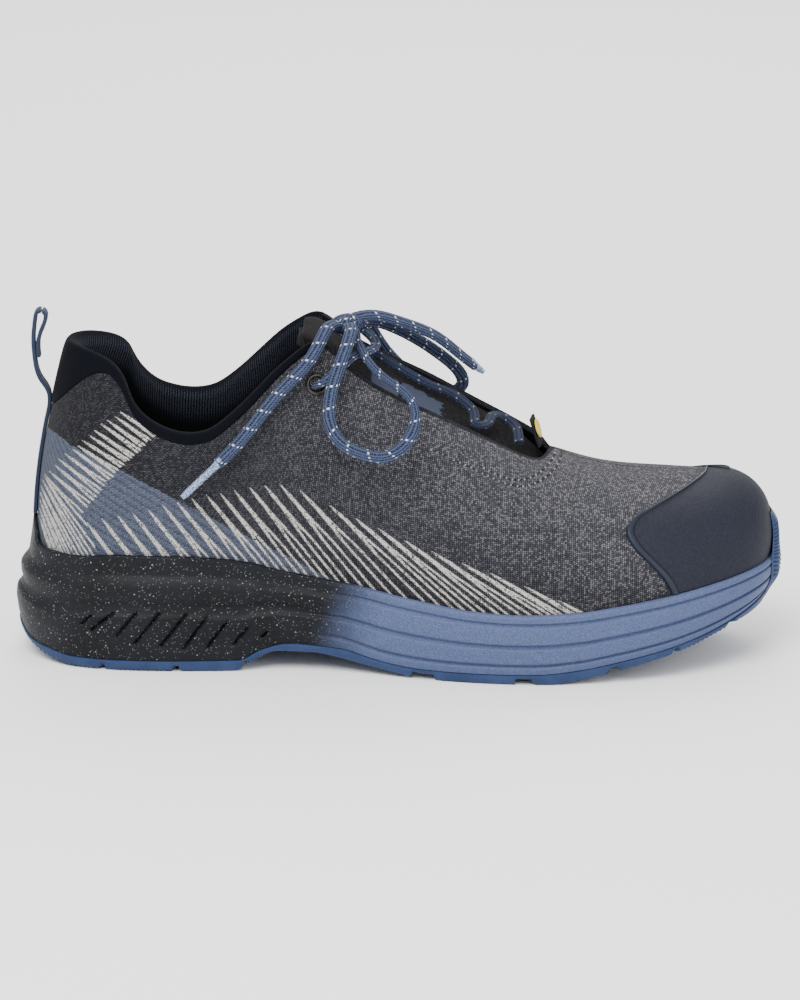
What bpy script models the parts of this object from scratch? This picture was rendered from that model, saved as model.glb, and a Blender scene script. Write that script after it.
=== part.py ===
import math

import bmesh
import bpy
import numpy as np

MM = 0.001
LENGTH = 302.0  # heel bulge to bumper
BALL_WIDTH = 107.0  # widest part of the sole
HEEL_TOP = 122.6  # floor to the top of the heel
DRAWN = (302.0, 107.0, 122.6)  # length, width and heel top for which the tables are drawn
FIT = np.array([LENGTH, BALL_WIDTH, HEEL_TOP]) / np.array(DRAWN)
HEEL_BACK = -43.2  # heel bulge behind the heel contact centre
GAP = 0.3  # between neighbouring pieces
WALL = 2.0  # knitted upper
LIP = 2.2  # thickness of the midsole cup's lip
CAP = 1.3  # toe cap overlay
CAP_RIM = 0.5  # how far the rim of the toe cap stands up
CAP_RIM_WIDE = 2.8
BUMPER = 1.9  # rubber of the toe bumper
BUMPER_HALF = 17.0  # along the outline, each side of the toe tip
BUMPER_TOP = 54.0
BUMPER_TOP_SHARE = 0.45  # width of its rounded top
PAD = 5.0  # padding of the collar
TONGUE = 4.5
INSOLE = 3.5
LACE = 5.0  # width of the lace
LACE_HALF_THICK = 1.6
TIP_D = 2.8
GROOVE_DEEP = 2.0  # tread grooves
BAND_HEIGHT = 3.2  # collar rim seen from outside
PATCH_HEIGHT = 24.0  # smooth patch at the heel top
PAGES = 28  # sections of each side

# Plan of the sole, half widths at stations from the heel contact centre
OUTLINE = {
    "x": (
        -41.0, -35.0, -25.0, -10.0, 10.0, 35.0, 60.0, 85.0, 110.0,
        135.0, 158.0, 180.0, 200.0, 218.0, 234.0, 246.0, 252.5,
    ),
    "outer": (
        11.0, 21.5, 30.5, 36.5, 39.5, 39.5, 38.5, 41.0, 48.0,
        54.5, 57.3, 56.3, 52.6, 46.3, 37.0, 25.5, 13.5,
    ),
    "inner": (
        11.0, 21.0, 29.5, 34.5, 36.5, 35.0, 31.5, 32.0, 38.5,
        45.5, 49.5, 50.0, 48.6, 45.0, 38.2, 29.0, 18.5,
    ),
}
TOE_TIP = (255.2, 3.5)

# Heights of the sole at stations along it
BOTTOM = {
    "x": (
        -43.2, -36.0, -29.0, -20.0, -13.0, 44.0, 48.0, 52.4, 60.0, 74.0, 81.0, 95.0,
        110.0, 117.0, 165.0, 176.0, 187.0, 202.0, 219.0, 229.0, 239.0, 249.0, 258.0,
    ),
    "z": (
        9.5, 4.8, 2.0, 0.3, 0.0, 0.0, 1.8, 4.9, 7.6, 7.4, 6.3, 3.4,
        0.8, 0.0, 0.0, 1.4, 3.6, 7.0, 11.2, 14.6, 17.8, 20.8, 23.4,
    ),
}
PARTING = {
    "x": (
        -43.2, -38.0, -28.0, -20.0, -7.0, 45.0, 54.0, 64.0, 84.0, 95.0, 103.0, 115.0,
        126.0, 145.0, 161.0, 176.0, 192.0, 206.0, 221.0, 237.0, 244.0, 252.0, 258.0,
    ),
    "z": (
        12.5, 7.6, 5.4, 4.2, 4.0, 4.2, 8.4, 10.9, 9.6, 6.9, 5.2, 3.9,
        3.6, 3.6, 3.9, 5.4, 8.2, 10.9, 14.3, 18.9, 21.3, 24.3, 26.6,
    ),
}
LIP_TOP = {
    "x": (
        -43.2, -20.0, 0.0, 21.0, 35.0, 49.0, 60.0, 80.0, 90.0, 103.0,
        118.0, 134.0, 150.0, 161.0, 176.0, 192.0, 210.0, 233.0, 253.0, 258.0,
    ),
    "z": (
        43.4, 43.5, 45.2, 45.2, 44.7, 42.9, 39.8, 35.9, 34.4, 31.8,
        29.4, 27.4, 26.6, 26.7, 27.4, 29.2, 31.5, 34.9, 37.7, 38.2,
    ),
}
CLIP = {"along": (0.0, 5.0, 10.0, 14.0, 19.0, 30.0), "rise": (10.0, 8.8, 5.4, 1.6, 0.0, 0.0)}
BED = {
    "x": (-43.2, 0.0, 40.0, 80.0, 110.0, 150.0, 180.0, 210.0, 235.0, 258.0),
    "z": (28.0, 27.0, 26.0, 21.5, 17.0, 15.5, 17.5, 22.0, 25.5, 28.0),
}

# Side of the midsole, from the parting line up to the lip: share of height and offset from the plan
SIDE_ROWS = (
    # heel_share, heel_out, fore_share, fore_out, clip_share
    (0.00, -1.6, 0.00, -0.9, 0.0),
    (0.10, -0.9, 0.11, -0.3, 0.0),
    (0.20, -0.4, 0.15, -1.5, 0.0),
    (0.30, 0.0, 0.20, -0.2, 0.0),
    (0.40, -0.2, 0.42, 0.0, 0.0),
    (0.47, -1.6, 0.48, -1.5, 0.0),
    (0.53, -2.2, 0.54, -0.3, 0.0),
    (0.60, -1.4, 0.66, -0.6, 0.0),
    (0.70, -1.0, 0.80, -1.2, 0.0),
    (0.77, -1.9, 0.85, -2.4, 0.0),
    (0.83, -3.6, 0.89, -1.5, 0.1),
    (0.92, -4.4, 0.95, -1.6, 0.5),
    (1.00, -5.0, 1.00, -2.2, 1.0),
)
FORE_FROM, FORE_TO = 55.0, 100.0  # where the heel side turns into the ribbed forefoot side
TOE_FROM, TOE_TUCK = 205.0, 4.2  # the toe side leans in towards the floor

# Top of the upper: collar line, throat edge, then the ridge of the vamp
TOP_ROWS = (
    # station, x, y_outer, y_inner, z_outer, z_inner
    (-43.2, -22.0, 0.0, 0.0, 122.5, 122.5),
    (-40.0, -20.8, -7.5, 7.5, 122.6, 122.6),
    (-33.0, -16.5, -14.5, 14.5, 122.2, 122.2),
    (-22.0, -9.5, -20.0, 20.0, 120.6, 120.8),
    (-12.0, -3.2, -24.0, 24.0, 117.5, 118.2),
    (-3.0, 1.3, -27.0, 27.0, 111.6, 113.5),
    (6.0, 5.2, -29.5, 28.8, 103.3, 106.3),
    (14.0, 11.0, -31.5, 30.8, 97.6, 99.9),
    (22.0, 18.0, -33.0, 32.3, 94.1, 96.6),
    (31.0, 26.0, -34.0, 33.2, 92.6, 95.2),
    (39.0, 34.0, -34.3, 33.5, 94.1, 96.3),
    (47.0, 41.5, -33.8, 33.2, 99.4, 100.8),
    (55.0, 49.5, -32.6, 32.0, 106.8, 108.0),
    (63.0, 59.0, -29.5, 29.5, 116.5, 118.2),
    (71.0, 68.0, -24.8, 26.4, 124.0, 125.5),
    (78.0, 75.5, -21.6, 24.2, 127.4, 128.6),
    (88.0, 86.0, -20.8, 23.8, 119.6, 121.8),
    (97.0, 96.6, -20.0, 23.8, 110.8, 114.8),
    (108.0, 113.8, -17.6, 23.6, 101.2, 106.6),
    (119.0, 126.5, -15.5, 22.8, 94.8, 100.2),
    (130.0, 138.4, -14.0, 21.4, 88.6, 94.0),
    (141.0, 148.6, -12.0, 19.5, 83.0, 89.0),
    (150.0, 156.3, -9.6, 17.0, 79.0, 85.2),
    (158.0, 162.8, -5.0, 12.5, 77.4, 81.6),
    (165.0, 166.6, 4.0, 4.0, 78.9, 78.9),
    (174.0, 175.0, 5.0, 5.0, 75.6, 75.6),
    (184.0, 184.5, 6.0, 6.0, 72.6, 72.6),
    (195.0, 194.0, 6.6, 6.6, 70.8, 70.8),
    (207.0, 203.0, 6.8, 6.8, 70.0, 70.0),
    (219.0, 211.0, 6.6, 6.6, 69.7, 69.7),
    (232.0, 218.0, 6.0, 6.0, 69.6, 69.6),
    (243.0, 223.0, 5.2, 5.2, 69.6, 69.6),
    (251.0, 226.5, 4.2, 4.2, 69.6, 69.6),
    (255.2, 228.0, 3.5, 3.5, 69.6, 69.6),
)
THROAT_FRONT = 165.0
FACING_TOP = 78.0

# How each section of the upper rises from the sole and leans in to its top
LEAN_ROWS = (
    # station, inset, rise, flare, reach, drop
    (-43.2, 8.8, 0.42, 1.2, 8.5, 35.0),
    (-30.0, 8.3, 0.42, 2.0, 9.0, 33.0),
    (-10.0, 7.6, 0.40, 2.6, 6.5, 28.0),
    (12.0, 7.4, 0.36, 3.2, 3.6, 21.0),
    (40.0, 7.2, 0.36, 3.6, 3.4, 22.0),
    (60.0, 6.8, 0.38, 3.8, 7.5, 25.0),
    (78.0, 6.4, 0.40, 3.6, 11.0, 22.0),
    (97.0, 6.0, 0.42, 3.2, 13.5, 14.0),
    (119.0, 5.6, 0.46, 2.8, 19.5, 9.0),
    (141.0, 5.3, 0.50, 2.4, 26.0, 5.0),
    (150.0, 5.2, 0.52, 2.3, 29.0, 3.8),
    (158.0, 5.2, 0.54, 2.2, 33.0, 2.6),
    (165.0, 5.2, 0.55, 2.2, 41.5, 4.0),
    (174.0, 5.2, 0.56, 2.2, 41.5, 1.6),
    (184.0, 5.2, 0.57, 2.3, 41.0, 0.6),
    (195.0, 5.2, 0.58, 2.4, 40.0, 0.2),
    (207.0, 5.2, 0.59, 2.8, 37.5, 0.0),
    (219.0, 5.2, 0.60, 3.4, 33.0, 0.0),
    (240.0, 5.1, 0.62, 5.0, 24.0, 0.0),
    (255.2, 5.0, 0.64, 6.4, 21.0, 0.0),
)

# Rear edge of the toe cap, from the lip to the ridge
CAP_EDGE = {
    "z": (28.0, 34.0, 44.0, 53.0, 60.0, 65.5, 69.0, 71.0),
    "x": (212.0, 209.0, 200.5, 194.5, 203.0, 213.5, 221.5, 224.0),
}

LUG_GROOVES = (
    # x_mm, wide
    (-8.0, 2.0),
    (20.7, 3.0),
    (47.6, 2.2),
    (116.5, 9.0),
    (155.2, 7.0),
    (189.7, 4.5),
    (213.7, 2.2),
    (235.6, 2.8),
)
LOUVRES = (
    # x_top, z_top, x_low, z_low
    (-12.0, 22.0, -17.0, 16.9),
    (-3.0, 23.4, -13.3, 14.7),
    (6.3, 24.0, -3.0, 12.8),
    (15.2, 24.0, 3.9, 9.6),
    (25.8, 23.8, 14.0, 8.8),
    (33.5, 22.6, 23.0, 7.6),
    (41.4, 20.8, 32.4, 8.4),
    (49.4, 18.4, 42.6, 9.6),
    (57.0, 16.4, 53.0, 12.6),
)
LOUVRE_WIDE, LOUVRE_DEEP = 2.4, 1.5
BUMPER_GROOVES = 8
BUMPER_GROOVE_WIDE, BUMPER_GROOVE_DEEP = 1.1, 0.9

PAINT = {
    # name: colour, roughness, metallic
    "outsole": ((0.060, 0.120, 0.270), 0.62, 0.0),
    "midsole": ((0.045, 0.055, 0.085), 0.72, 0.0),
    "upper": ((0.060, 0.062, 0.070), 0.92, 0.0),
    "toe_cap": ((0.040, 0.044, 0.058), 0.68, 0.0),
    "collar": ((0.012, 0.015, 0.028), 0.80, 0.0),
    "tongue": ((0.010, 0.011, 0.014), 0.90, 0.0),
    "insole": ((0.020, 0.024, 0.035), 0.90, 0.0),
    "eyelet": ((0.200, 0.190, 0.180), 0.35, 1.0),
    "lace": ((0.085, 0.125, 0.240), 0.85, 0.0),
    "lace_tip": ((0.300, 0.340, 0.420), 0.40, 0.0),
    "tab": ((0.010, 0.010, 0.012), 0.85, 0.0),
    "tab_disc": ((0.750, 0.560, 0.060), 0.60, 0.0),
}


def clear_objects():
    for item in list(bpy.data.objects):
        bpy.data.objects.remove(item, do_unlink=True)


def steps(xs, ys, q):
    # Cubic through table rows that never overshoots them
    xs, ys = np.asarray(xs, float), np.asarray(ys, float)
    q = np.clip(q, xs[0], xs[-1])
    wide = np.diff(xs)
    slope = np.diff(ys) / wide
    before, after = slope[:-1], slope[1:]
    same = before * after > 0
    total = np.where(same, before + after, 1.0)
    inner = np.where(same, 2 * before * after / total, 0.0)
    tangent = np.concatenate([slope[:1], inner, slope[-1:]])
    i = np.clip(np.searchsorted(xs, q, side="right") - 1, 0, len(wide) - 1)
    u = (q - xs[i]) / wide[i]
    rest = 1 - u
    low = rest * rest * ((1 + 2 * u) * ys[i] + u * wide[i] * tangent[i])
    high = u * u * ((3 - 2 * u) * ys[i + 1] - rest * wide[i] * tangent[i + 1])
    return low + high


def spline(xs, ys, q):
    # Natural cubic spline through table rows
    xs, ys = np.asarray(xs, float), np.asarray(ys, float)
    n = len(xs)
    wide = np.diff(xs)
    slope = np.diff(ys) / wide
    matrix, right = np.eye(n), np.zeros(n)
    for k in range(1, n - 1):
        matrix[k, k - 1], matrix[k, k + 1] = wide[k - 1], wide[k]
        matrix[k, k] = 2 * (wide[k - 1] + wide[k])
        right[k] = 6 * (slope[k] - slope[k - 1])
    bend = np.linalg.solve(matrix, right)
    i = np.clip(np.searchsorted(xs, q, side="right") - 1, 0, n - 2)
    h, a, b = wide[i], xs[i + 1] - q, q - xs[i]
    curved = (bend[i] * a**3 + bend[i + 1] * b**3) / (6 * h)
    straight = (ys[i] / h - bend[i] * h / 6) * a + (ys[i + 1] / h - bend[i + 1] * h / 6) * b
    return curved + straight


def ramp(q, start, stop):
    u = np.clip((q - start) / (stop - start), 0, 1)
    return u * u * (3 - 2 * u)


def closed_plan():
    # Closed Catmull curve through the plan, evenly resampled along each side
    xs = OUTLINE["x"]
    outer = [(HEEL_BACK, 0.0)] + [(x, -y) for x, y in zip(xs, OUTLINE["outer"])]
    inner = [(x, y) for x, y in zip(xs, OUTLINE["inner"])][::-1]
    ring = np.array(outer + [TOE_TIP] + inner)
    count, fine = len(ring), 24
    chord = np.sqrt(np.linalg.norm(np.roll(ring, -1, 0) - ring, axis=1))
    dense = []
    for k in range(count):
        p0, p1, p2, p3 = (ring[(k + j) % count] for j in (-1, 0, 1, 2))
        d0, d1, d2 = chord[k - 1], chord[k], chord[(k + 1) % count]
        m1 = ((p1 - p0) / d0 - (p2 - p0) / (d0 + d1) + (p2 - p1) / d1) * d1
        m2 = ((p2 - p1) / d1 - (p3 - p1) / (d1 + d2) + (p3 - p2) / d2) * d1
        for u in np.arange(fine) / fine:
            a = (1 + 2 * u) * (1 - u) ** 2 * p1 + u * (1 - u) ** 2 * m1
            dense.append(a + u * u * (3 - 2 * u) * p2 + u * u * (u - 1) * m2)
    dense = np.array(dense)
    toe = len(outer) * fine
    sides = (dense[: toe + 1], np.vstack([dense[toe:], dense[:1]])[::-1])
    even = []
    for line in sides:
        along = np.concatenate([[0], np.cumsum(np.linalg.norm(np.diff(line, axis=0), axis=1))])
        even.append((along / along[-1], line, along[-1]))
    return even


PLAN = closed_plan()
HALF_ROUND = PLAN[0][2]


def fold(s):
    # Ring position 0..2 as (side index, share of the way from heel to toe)
    s = np.mod(s, 2.0)
    inner = s > 1
    return inner, np.where(inner, 2 - s, s)


def plan(s):
    inner, t = fold(s)
    out = []
    for axis in (0, 1):
        a = np.interp(t, PLAN[0][0], PLAN[0][1][:, axis])
        b = np.interp(t, PLAN[1][0], PLAN[1][1][:, axis])
        out.append(np.where(inner, b, a))
    return np.stack(out, -1)


def plan_normal(s):
    along = plan(s + 0.004) - plan(s - 0.004)
    along /= np.linalg.norm(along, axis=-1, keepdims=True)
    return np.stack([along[..., 1], -along[..., 0]], -1)


def station_share(x):
    return np.interp(x, PLAN[0][1][:, 0], PLAN[0][0])


def mirrored(values, odd):
    # Table column with three rows mirrored past each end
    values = list(values)
    sign = -1 if odd else 1
    low = [sign * v for v in values[3:0:-1]]
    high = [2 * values[-1] * (1 if odd else 0) + (-1 if odd else 1) * v for v in values[-2:-5:-1]]
    return low + values + high


def table_curve(rows, column, t, odd=False):
    share = station_share(np.array([r[0] for r in rows]))
    share[0], share[-1] = 0.0, 1.0
    knots = list(-share[3:0:-1]) + list(share) + list(2 - share[-2:-5:-1])
    values = [r[column] for r in rows]
    return spline(knots, mirrored(values, odd), t)


def lip_height(s):
    inner, t = fold(s)
    x = plan(s)[..., 0]
    clip = steps(CLIP["along"], CLIP["rise"], t * HALF_ROUND)
    return steps(LIP_TOP["x"], LIP_TOP["z"], x), clip


def top_point(s):
    inner, t = fold(s)
    x = table_curve(TOP_ROWS, 1, t)
    y_low = table_curve(TOP_ROWS, 2, t, True)
    y_high = table_curve(TOP_ROWS, 3, t, True)
    z_low, z_high = table_curve(TOP_ROWS, 4, t), table_curve(TOP_ROWS, 5, t)
    join = station_share(THROAT_FRONT)
    ridge = t >= join - 1e-9
    middle = (y_low + y_high) / 2
    y_low, y_high = np.where(ridge, middle, y_low), np.where(ridge, middle, y_high)
    z_mid = (z_low + z_high) / 2
    z_low, z_high = np.where(ridge, z_mid, z_low), np.where(ridge, z_mid, z_high)
    return np.stack([x, np.where(inner, y_high, y_low), np.where(inner, z_high, z_low)], -1)


def feather_point(s):
    inner, t = fold(s)
    inset = table_curve(LEAN_ROWS, 1, t)[..., None]
    xy = plan(s) - inset * plan_normal(s)
    z = steps(BED["x"], BED["z"], xy[..., 0]) + GAP
    return np.concatenate([xy, z[..., None]], -1)


def skin(s, w):
    # Outer face of the upper: a Bezier section from feather line to top
    s, w = np.broadcast_arrays(np.asarray(s, float), np.asarray(w, float))
    inner, t = fold(s)
    low, top = feather_point(s), top_point(s)
    rise, flare, reach, drop = (table_curve(LEAN_ROWS, k, t) for k in (2, 3, 4, 5))
    normal = plan_normal(s)
    other = feather_point(np.where(inner, t, s))
    other_top = top_point(np.where(inner, t, s))
    span = np.linalg.norm((low - top)[..., :2], axis=-1)
    outer_span = np.linalg.norm((other - other_top)[..., :2], axis=-1)
    share = np.clip(span / np.maximum(outer_span, 1.0), 0.55, 1.3)
    reach = reach * np.where(inner, 1 + (share - 1) * ramp(outer_span, 3.0, 18.0), 1.0)
    away = (low - top)[..., :2]
    lean = np.clip(span / 14.0, 0, 1)[..., None]
    away = away / np.maximum(span, 1e-6)[..., None] * lean + normal * (1 - lean)
    away /= np.linalg.norm(away, axis=-1, keepdims=True)
    first, last = low.copy(), top.copy()
    first[..., :2] += flare[..., None] * normal
    first[..., 2] += rise * (top - low)[..., 2]
    slope = (top_point(s + 0.002) - top_point(s - 0.002))
    grade = slope[..., 2] / np.where(np.abs(slope[..., 0]) < 1e-4, 1e9, slope[..., 0])
    on_ridge = ramp(t, station_share(THROAT_FRONT) - 0.02, station_share(THROAT_FRONT) + 0.02)
    last[..., :2] += reach[..., None] * away
    last[..., 2] += on_ridge * np.clip(grade, -0.6, 0.6) * reach * away[..., 0] - drop
    w = w[..., None]
    v = 1 - w
    return v**3 * low + 3 * v * v * w * first + 3 * v * w * w * last + w**3 * top


def skin_normal(s, w):
    s, w = np.broadcast_arrays(np.asarray(s, float), np.asarray(w, float))
    w = np.clip(w, 0.01, 0.985)
    along = skin(s + 0.012, w) - skin(s - 0.012, w)
    up = skin(s, w + 0.01) - skin(s, w - 0.01)
    normal = np.cross(along, up)
    size = np.linalg.norm(normal, axis=-1, keepdims=True)
    normal = normal / np.maximum(size, 1e-9)
    inner, t = fold(s)
    near_ridge = ramp(w, 0.90, 0.985) * ramp(t, station_share(THROAT_FRONT), station_share(THROAT_FRONT + 8))
    normal = normal * (1 - near_ridge[..., None]) + RIDGE_UP * near_ridge[..., None]
    return normal / np.linalg.norm(normal, axis=-1, keepdims=True)


RIDGE_UP = np.array([0.06, 0.0, 1.0])


def off(s, w, d):
    d = np.asarray(d, float)
    return skin(s, w) + skin_normal(s, w) * d[..., None]


def share_at(s, z):
    # Share of a section at which it reaches a height
    s, z = np.broadcast_arrays(np.asarray(s, float), np.asarray(z, float))
    rows = np.linspace(0, 1, 121)
    out = np.zeros(s.shape)
    for k in np.ndindex(s.shape):
        heights = skin(np.full(rows.shape, s[k]), rows)[:, 2]
        heights = np.maximum.accumulate(heights + rows * 1e-6)
        out[k] = np.interp(z[k], heights, rows)
    return out


HEEL_SHARE = 0.014  # first section beside the back seam
CLOSER_AT = (154.0, 161.5, 83.0)


def ring_shares():
    # Ring positions, closer together round the throat's front and the facing's top
    even = np.linspace(0, 1, PAGES + 1)
    fixed = [station_share(v) for v in (THROAT_FRONT, FACING_TOP)]
    for value in fixed:
        even[np.argmin(np.abs(even - value))] = value
    extra = [HEEL_SHARE] + [station_share(v) for v in CLOSER_AT]
    kept = [e for e in extra if np.min(np.abs(even - e)) > 0.006]
    return np.sort(np.concatenate([even, kept]))


HALF = ring_shares()
RING = np.concatenate([HALF, (2 - HALF)[::-1][1:-1]])


def paint(name):
    material = bpy.data.materials.get(name)
    if material is None:
        material = bpy.data.materials.new(name)
        material.use_nodes = True
        shader = material.node_tree.nodes["Principled BSDF"]
        colour, rough, metal = PAINT[name]
        shader.inputs["Base Color"].default_value = (*colour, 1)
        shader.inputs["Roughness"].default_value = rough
        shader.inputs["Metallic"].default_value = metal
    return material


def split_quads(points, faces):
    # Each quad is halved along its shorter diagonal, so that facing pieces match
    out = []
    for face in faces:
        if len(face) != 4:
            out.append(tuple(face))
            continue
        a, b, c, d = face
        first = np.linalg.norm(points[a] - points[c])
        second = np.linalg.norm(points[b] - points[d])
        if first <= second + 1e-6:
            out += [(a, b, c), (a, c, d)]
        else:
            out += [(b, c, d), (b, d, a)]
    return out


def add_mesh(name, slot, points, faces):
    # Joined, closed and facing outwards; points in millimetres
    points = np.asarray(points, float)
    mesh = bpy.data.meshes.new(name)
    mesh.from_pydata([tuple(p * MM * FIT) for p in points], [], split_quads(points, faces))
    work = bmesh.new()
    work.from_mesh(mesh)
    bmesh.ops.remove_doubles(work, verts=work.verts, dist=0.00002)
    bmesh.ops.dissolve_degenerate(work, edges=work.edges, dist=0.00001)
    bmesh.ops.recalc_face_normals(work, faces=work.faces)
    if work.calc_volume(signed=True) < 0:
        bmesh.ops.reverse_faces(work, faces=work.faces)
    work.to_mesh(mesh)
    work.free()
    item = bpy.data.objects.new(name, mesh)
    bpy.context.scene.collection.objects.link(item)
    mesh.materials.append(paint(slot))
    return item


def sheet_faces(rows, columns, round_rows, round_columns):
    # Quads of a grid, row by row
    faces = []
    for j in range(rows - (0 if round_rows else 1)):
        for i in range(columns - (0 if round_columns else 1)):
            a, b = j, (j + 1) % rows
            c, d = i, (i + 1) % columns
            faces.append((a * columns + c, a * columns + d, b * columns + d, b * columns + c))
    return faces


def closed_loft(name, slot, grid, cap_ends):
    # grid: rows go round each section, columns run along; ends are closed with one face
    rows, columns = grid.shape[:2]
    faces = sheet_faces(rows, columns, True, not cap_ends)
    if cap_ends:
        faces.append([j * columns for j in range(rows)])
        faces.append([j * columns + columns - 1 for j in range(rows)][::-1])
    return add_mesh(name, slot, grid.reshape(-1, 3), faces)


def box_piece(centre, along, up, out, sizes):
    # Block with its own axes
    points = []
    for a in (-0.5, 0.5):
        for b in (-0.5, 0.5):
            for c in (-0.5, 0.5):
                shift = a * sizes[0] * along + b * sizes[1] * up + c * sizes[2] * out
                points.append(centre + shift)
    faces = [(0, 1, 3, 2), (4, 6, 7, 5), (0, 4, 5, 1), (2, 3, 7, 6), (0, 2, 6, 4), (1, 5, 7, 3)]
    return points, faces


def cutter_set(name, blocks):
    points, faces = [], []
    for block_points, block_faces in blocks:
        start = len(points)
        points += block_points
        faces += [tuple(start + v for v in f) for f in block_faces]
    item = add_mesh(name, "tab", points, faces)
    item.hide_render = True
    item.display_type = "WIRE"
    return item


def boolean(item, cutter, operation):
    change = item.modifiers.new(operation.lower() + "_" + cutter.name, "BOOLEAN")
    change.operation = operation
    change.solver = "EXACT"
    change.object = cutter
    return change


MIDDLE_LINE = {"x": (-20.0, 60.0, 110.0, 180.0, 220.0), "y": (0.0, -2.0, -4.0, -2.0, 2.0)}
MIDDLE_FROM_HEEL, MIDDLE_FROM_TOE = 26.0, 38.0


def bed_centre(s):
    # Where the section's flat faces end, on the middle line of the sole
    inner, t = fold(s)
    start, stop = HEEL_BACK + MIDDLE_FROM_HEEL, TOE_TIP[0] - MIDDLE_FROM_TOE
    x = start + (stop - start) * t
    return np.stack([x, steps(MIDDLE_LINE["x"], MIDDLE_LINE["y"], x)], -1)


def toe_zone(s):
    inner, t = fold(s)
    away = (1 - t) * HALF_ROUND
    return 1 - ramp(away, BUMPER_HALF - 1, BUMPER_HALF + 4)


def side_rows(s):
    # Outer side of the midsole, row by row
    base, normal = plan(s), plan_normal(s)
    x = base[..., 0]
    parting = steps(PARTING["x"], PARTING["z"], x)
    lip, clip = lip_height(s)
    fore = ramp(x, FORE_FROM, FORE_TO)
    toe = ramp(x, TOE_FROM, TOE_TIP[0])
    edge = off(s, LIP_SHARE, np.full(s.shape, GAP + LIP))
    thin = off(s, LIP_SHARE, np.full(s.shape, GAP + LIP * 0.55))
    top_out = SIDE_ROWS[-1][1] * (1 - fore) + SIDE_ROWS[-1][3] * fore
    miss = edge[..., :2] - (base + top_out[..., None] * normal)
    rows = []
    for heel_share, heel_out, fore_share, fore_out, clip_share in SIDE_ROWS:
        share = heel_share * (1 - fore) + fore_share * fore
        out = heel_out * (1 - fore) + fore_out * fore
        out = out - toe * TOE_TUCK * (1 - share) ** 1.5
        xy = base + out[..., None] * normal + (share**2)[..., None] * miss
        z = parting + share * (lip - parting) + clip_share * clip
        z = z + (GAP / 2) * (1 - share)
        if clip_share == 1.0:
            tip = np.clip(clip / 8.0, 0, 1)[..., None]
            xy = edge[..., :2] * (1 - tip) + thin[..., :2] * tip
        rows.append(np.concatenate([xy, z[..., None]], -1))
    return rows


LIP_SHARE = share_at(RING, sum(lip_height(RING)))


def midsole():
    s = RING
    centre = bed_centre(s)
    rows = []
    floor_z = steps(PARTING["x"], PARTING["z"], centre[:, 0]) + GAP / 2
    rows.append(np.column_stack([centre, floor_z]))
    side = side_rows(s)
    rows += side
    for share in (1.0, 0.5, 0.0):
        line = off(s, LIP_SHARE * share, np.full(s.shape, GAP))
        line[:, 2] -= GAP * (1 - share)
        rows.append(line)
    bed_z = steps(BED["x"], BED["z"], centre[:, 0])
    rows.append(np.column_stack([centre, bed_z]))
    grid = np.array(rows)
    count = len(s)
    faces = sheet_faces(len(rows), count, False, True)
    item = add_mesh("midsole", "midsole", grid.reshape(-1, 3), faces)
    blocks = []
    for x_top, z_top, x_low, z_low in LOUVRES:
        for turn in (-1, 1):
            share = station_share((x_top + x_low) / 2)
            ring_at = share if turn < 0 else 2 - share
            point, normal = plan(ring_at), plan_normal(ring_at)
            out = np.array([*normal, 0.0])
            along = np.array([-turn * normal[1], turn * normal[0], 0.0])
            along = along if along[0] > 0 else -along
            lean = (x_top - x_low) * along + np.array([0, 0, z_top - z_low])
            length = np.linalg.norm(lean)
            lean = lean / length
            cross = np.cross(lean, out)
            middle = np.array([*point, (z_top + z_low) / 2]) + out * (3.0 - LOUVRE_DEEP)
            blocks.append(box_piece(middle, cross, lean, out, (LOUVRE_WIDE, length, 6.0)))
    boolean(item, cutter_set("louvre_cutters", blocks), "DIFFERENCE")
    return item


TREAD_OUT, TREAD_CHAMFER = 0.4, 1.4  # tread edge beyond the foam, and its lower edge drawn in


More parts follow.
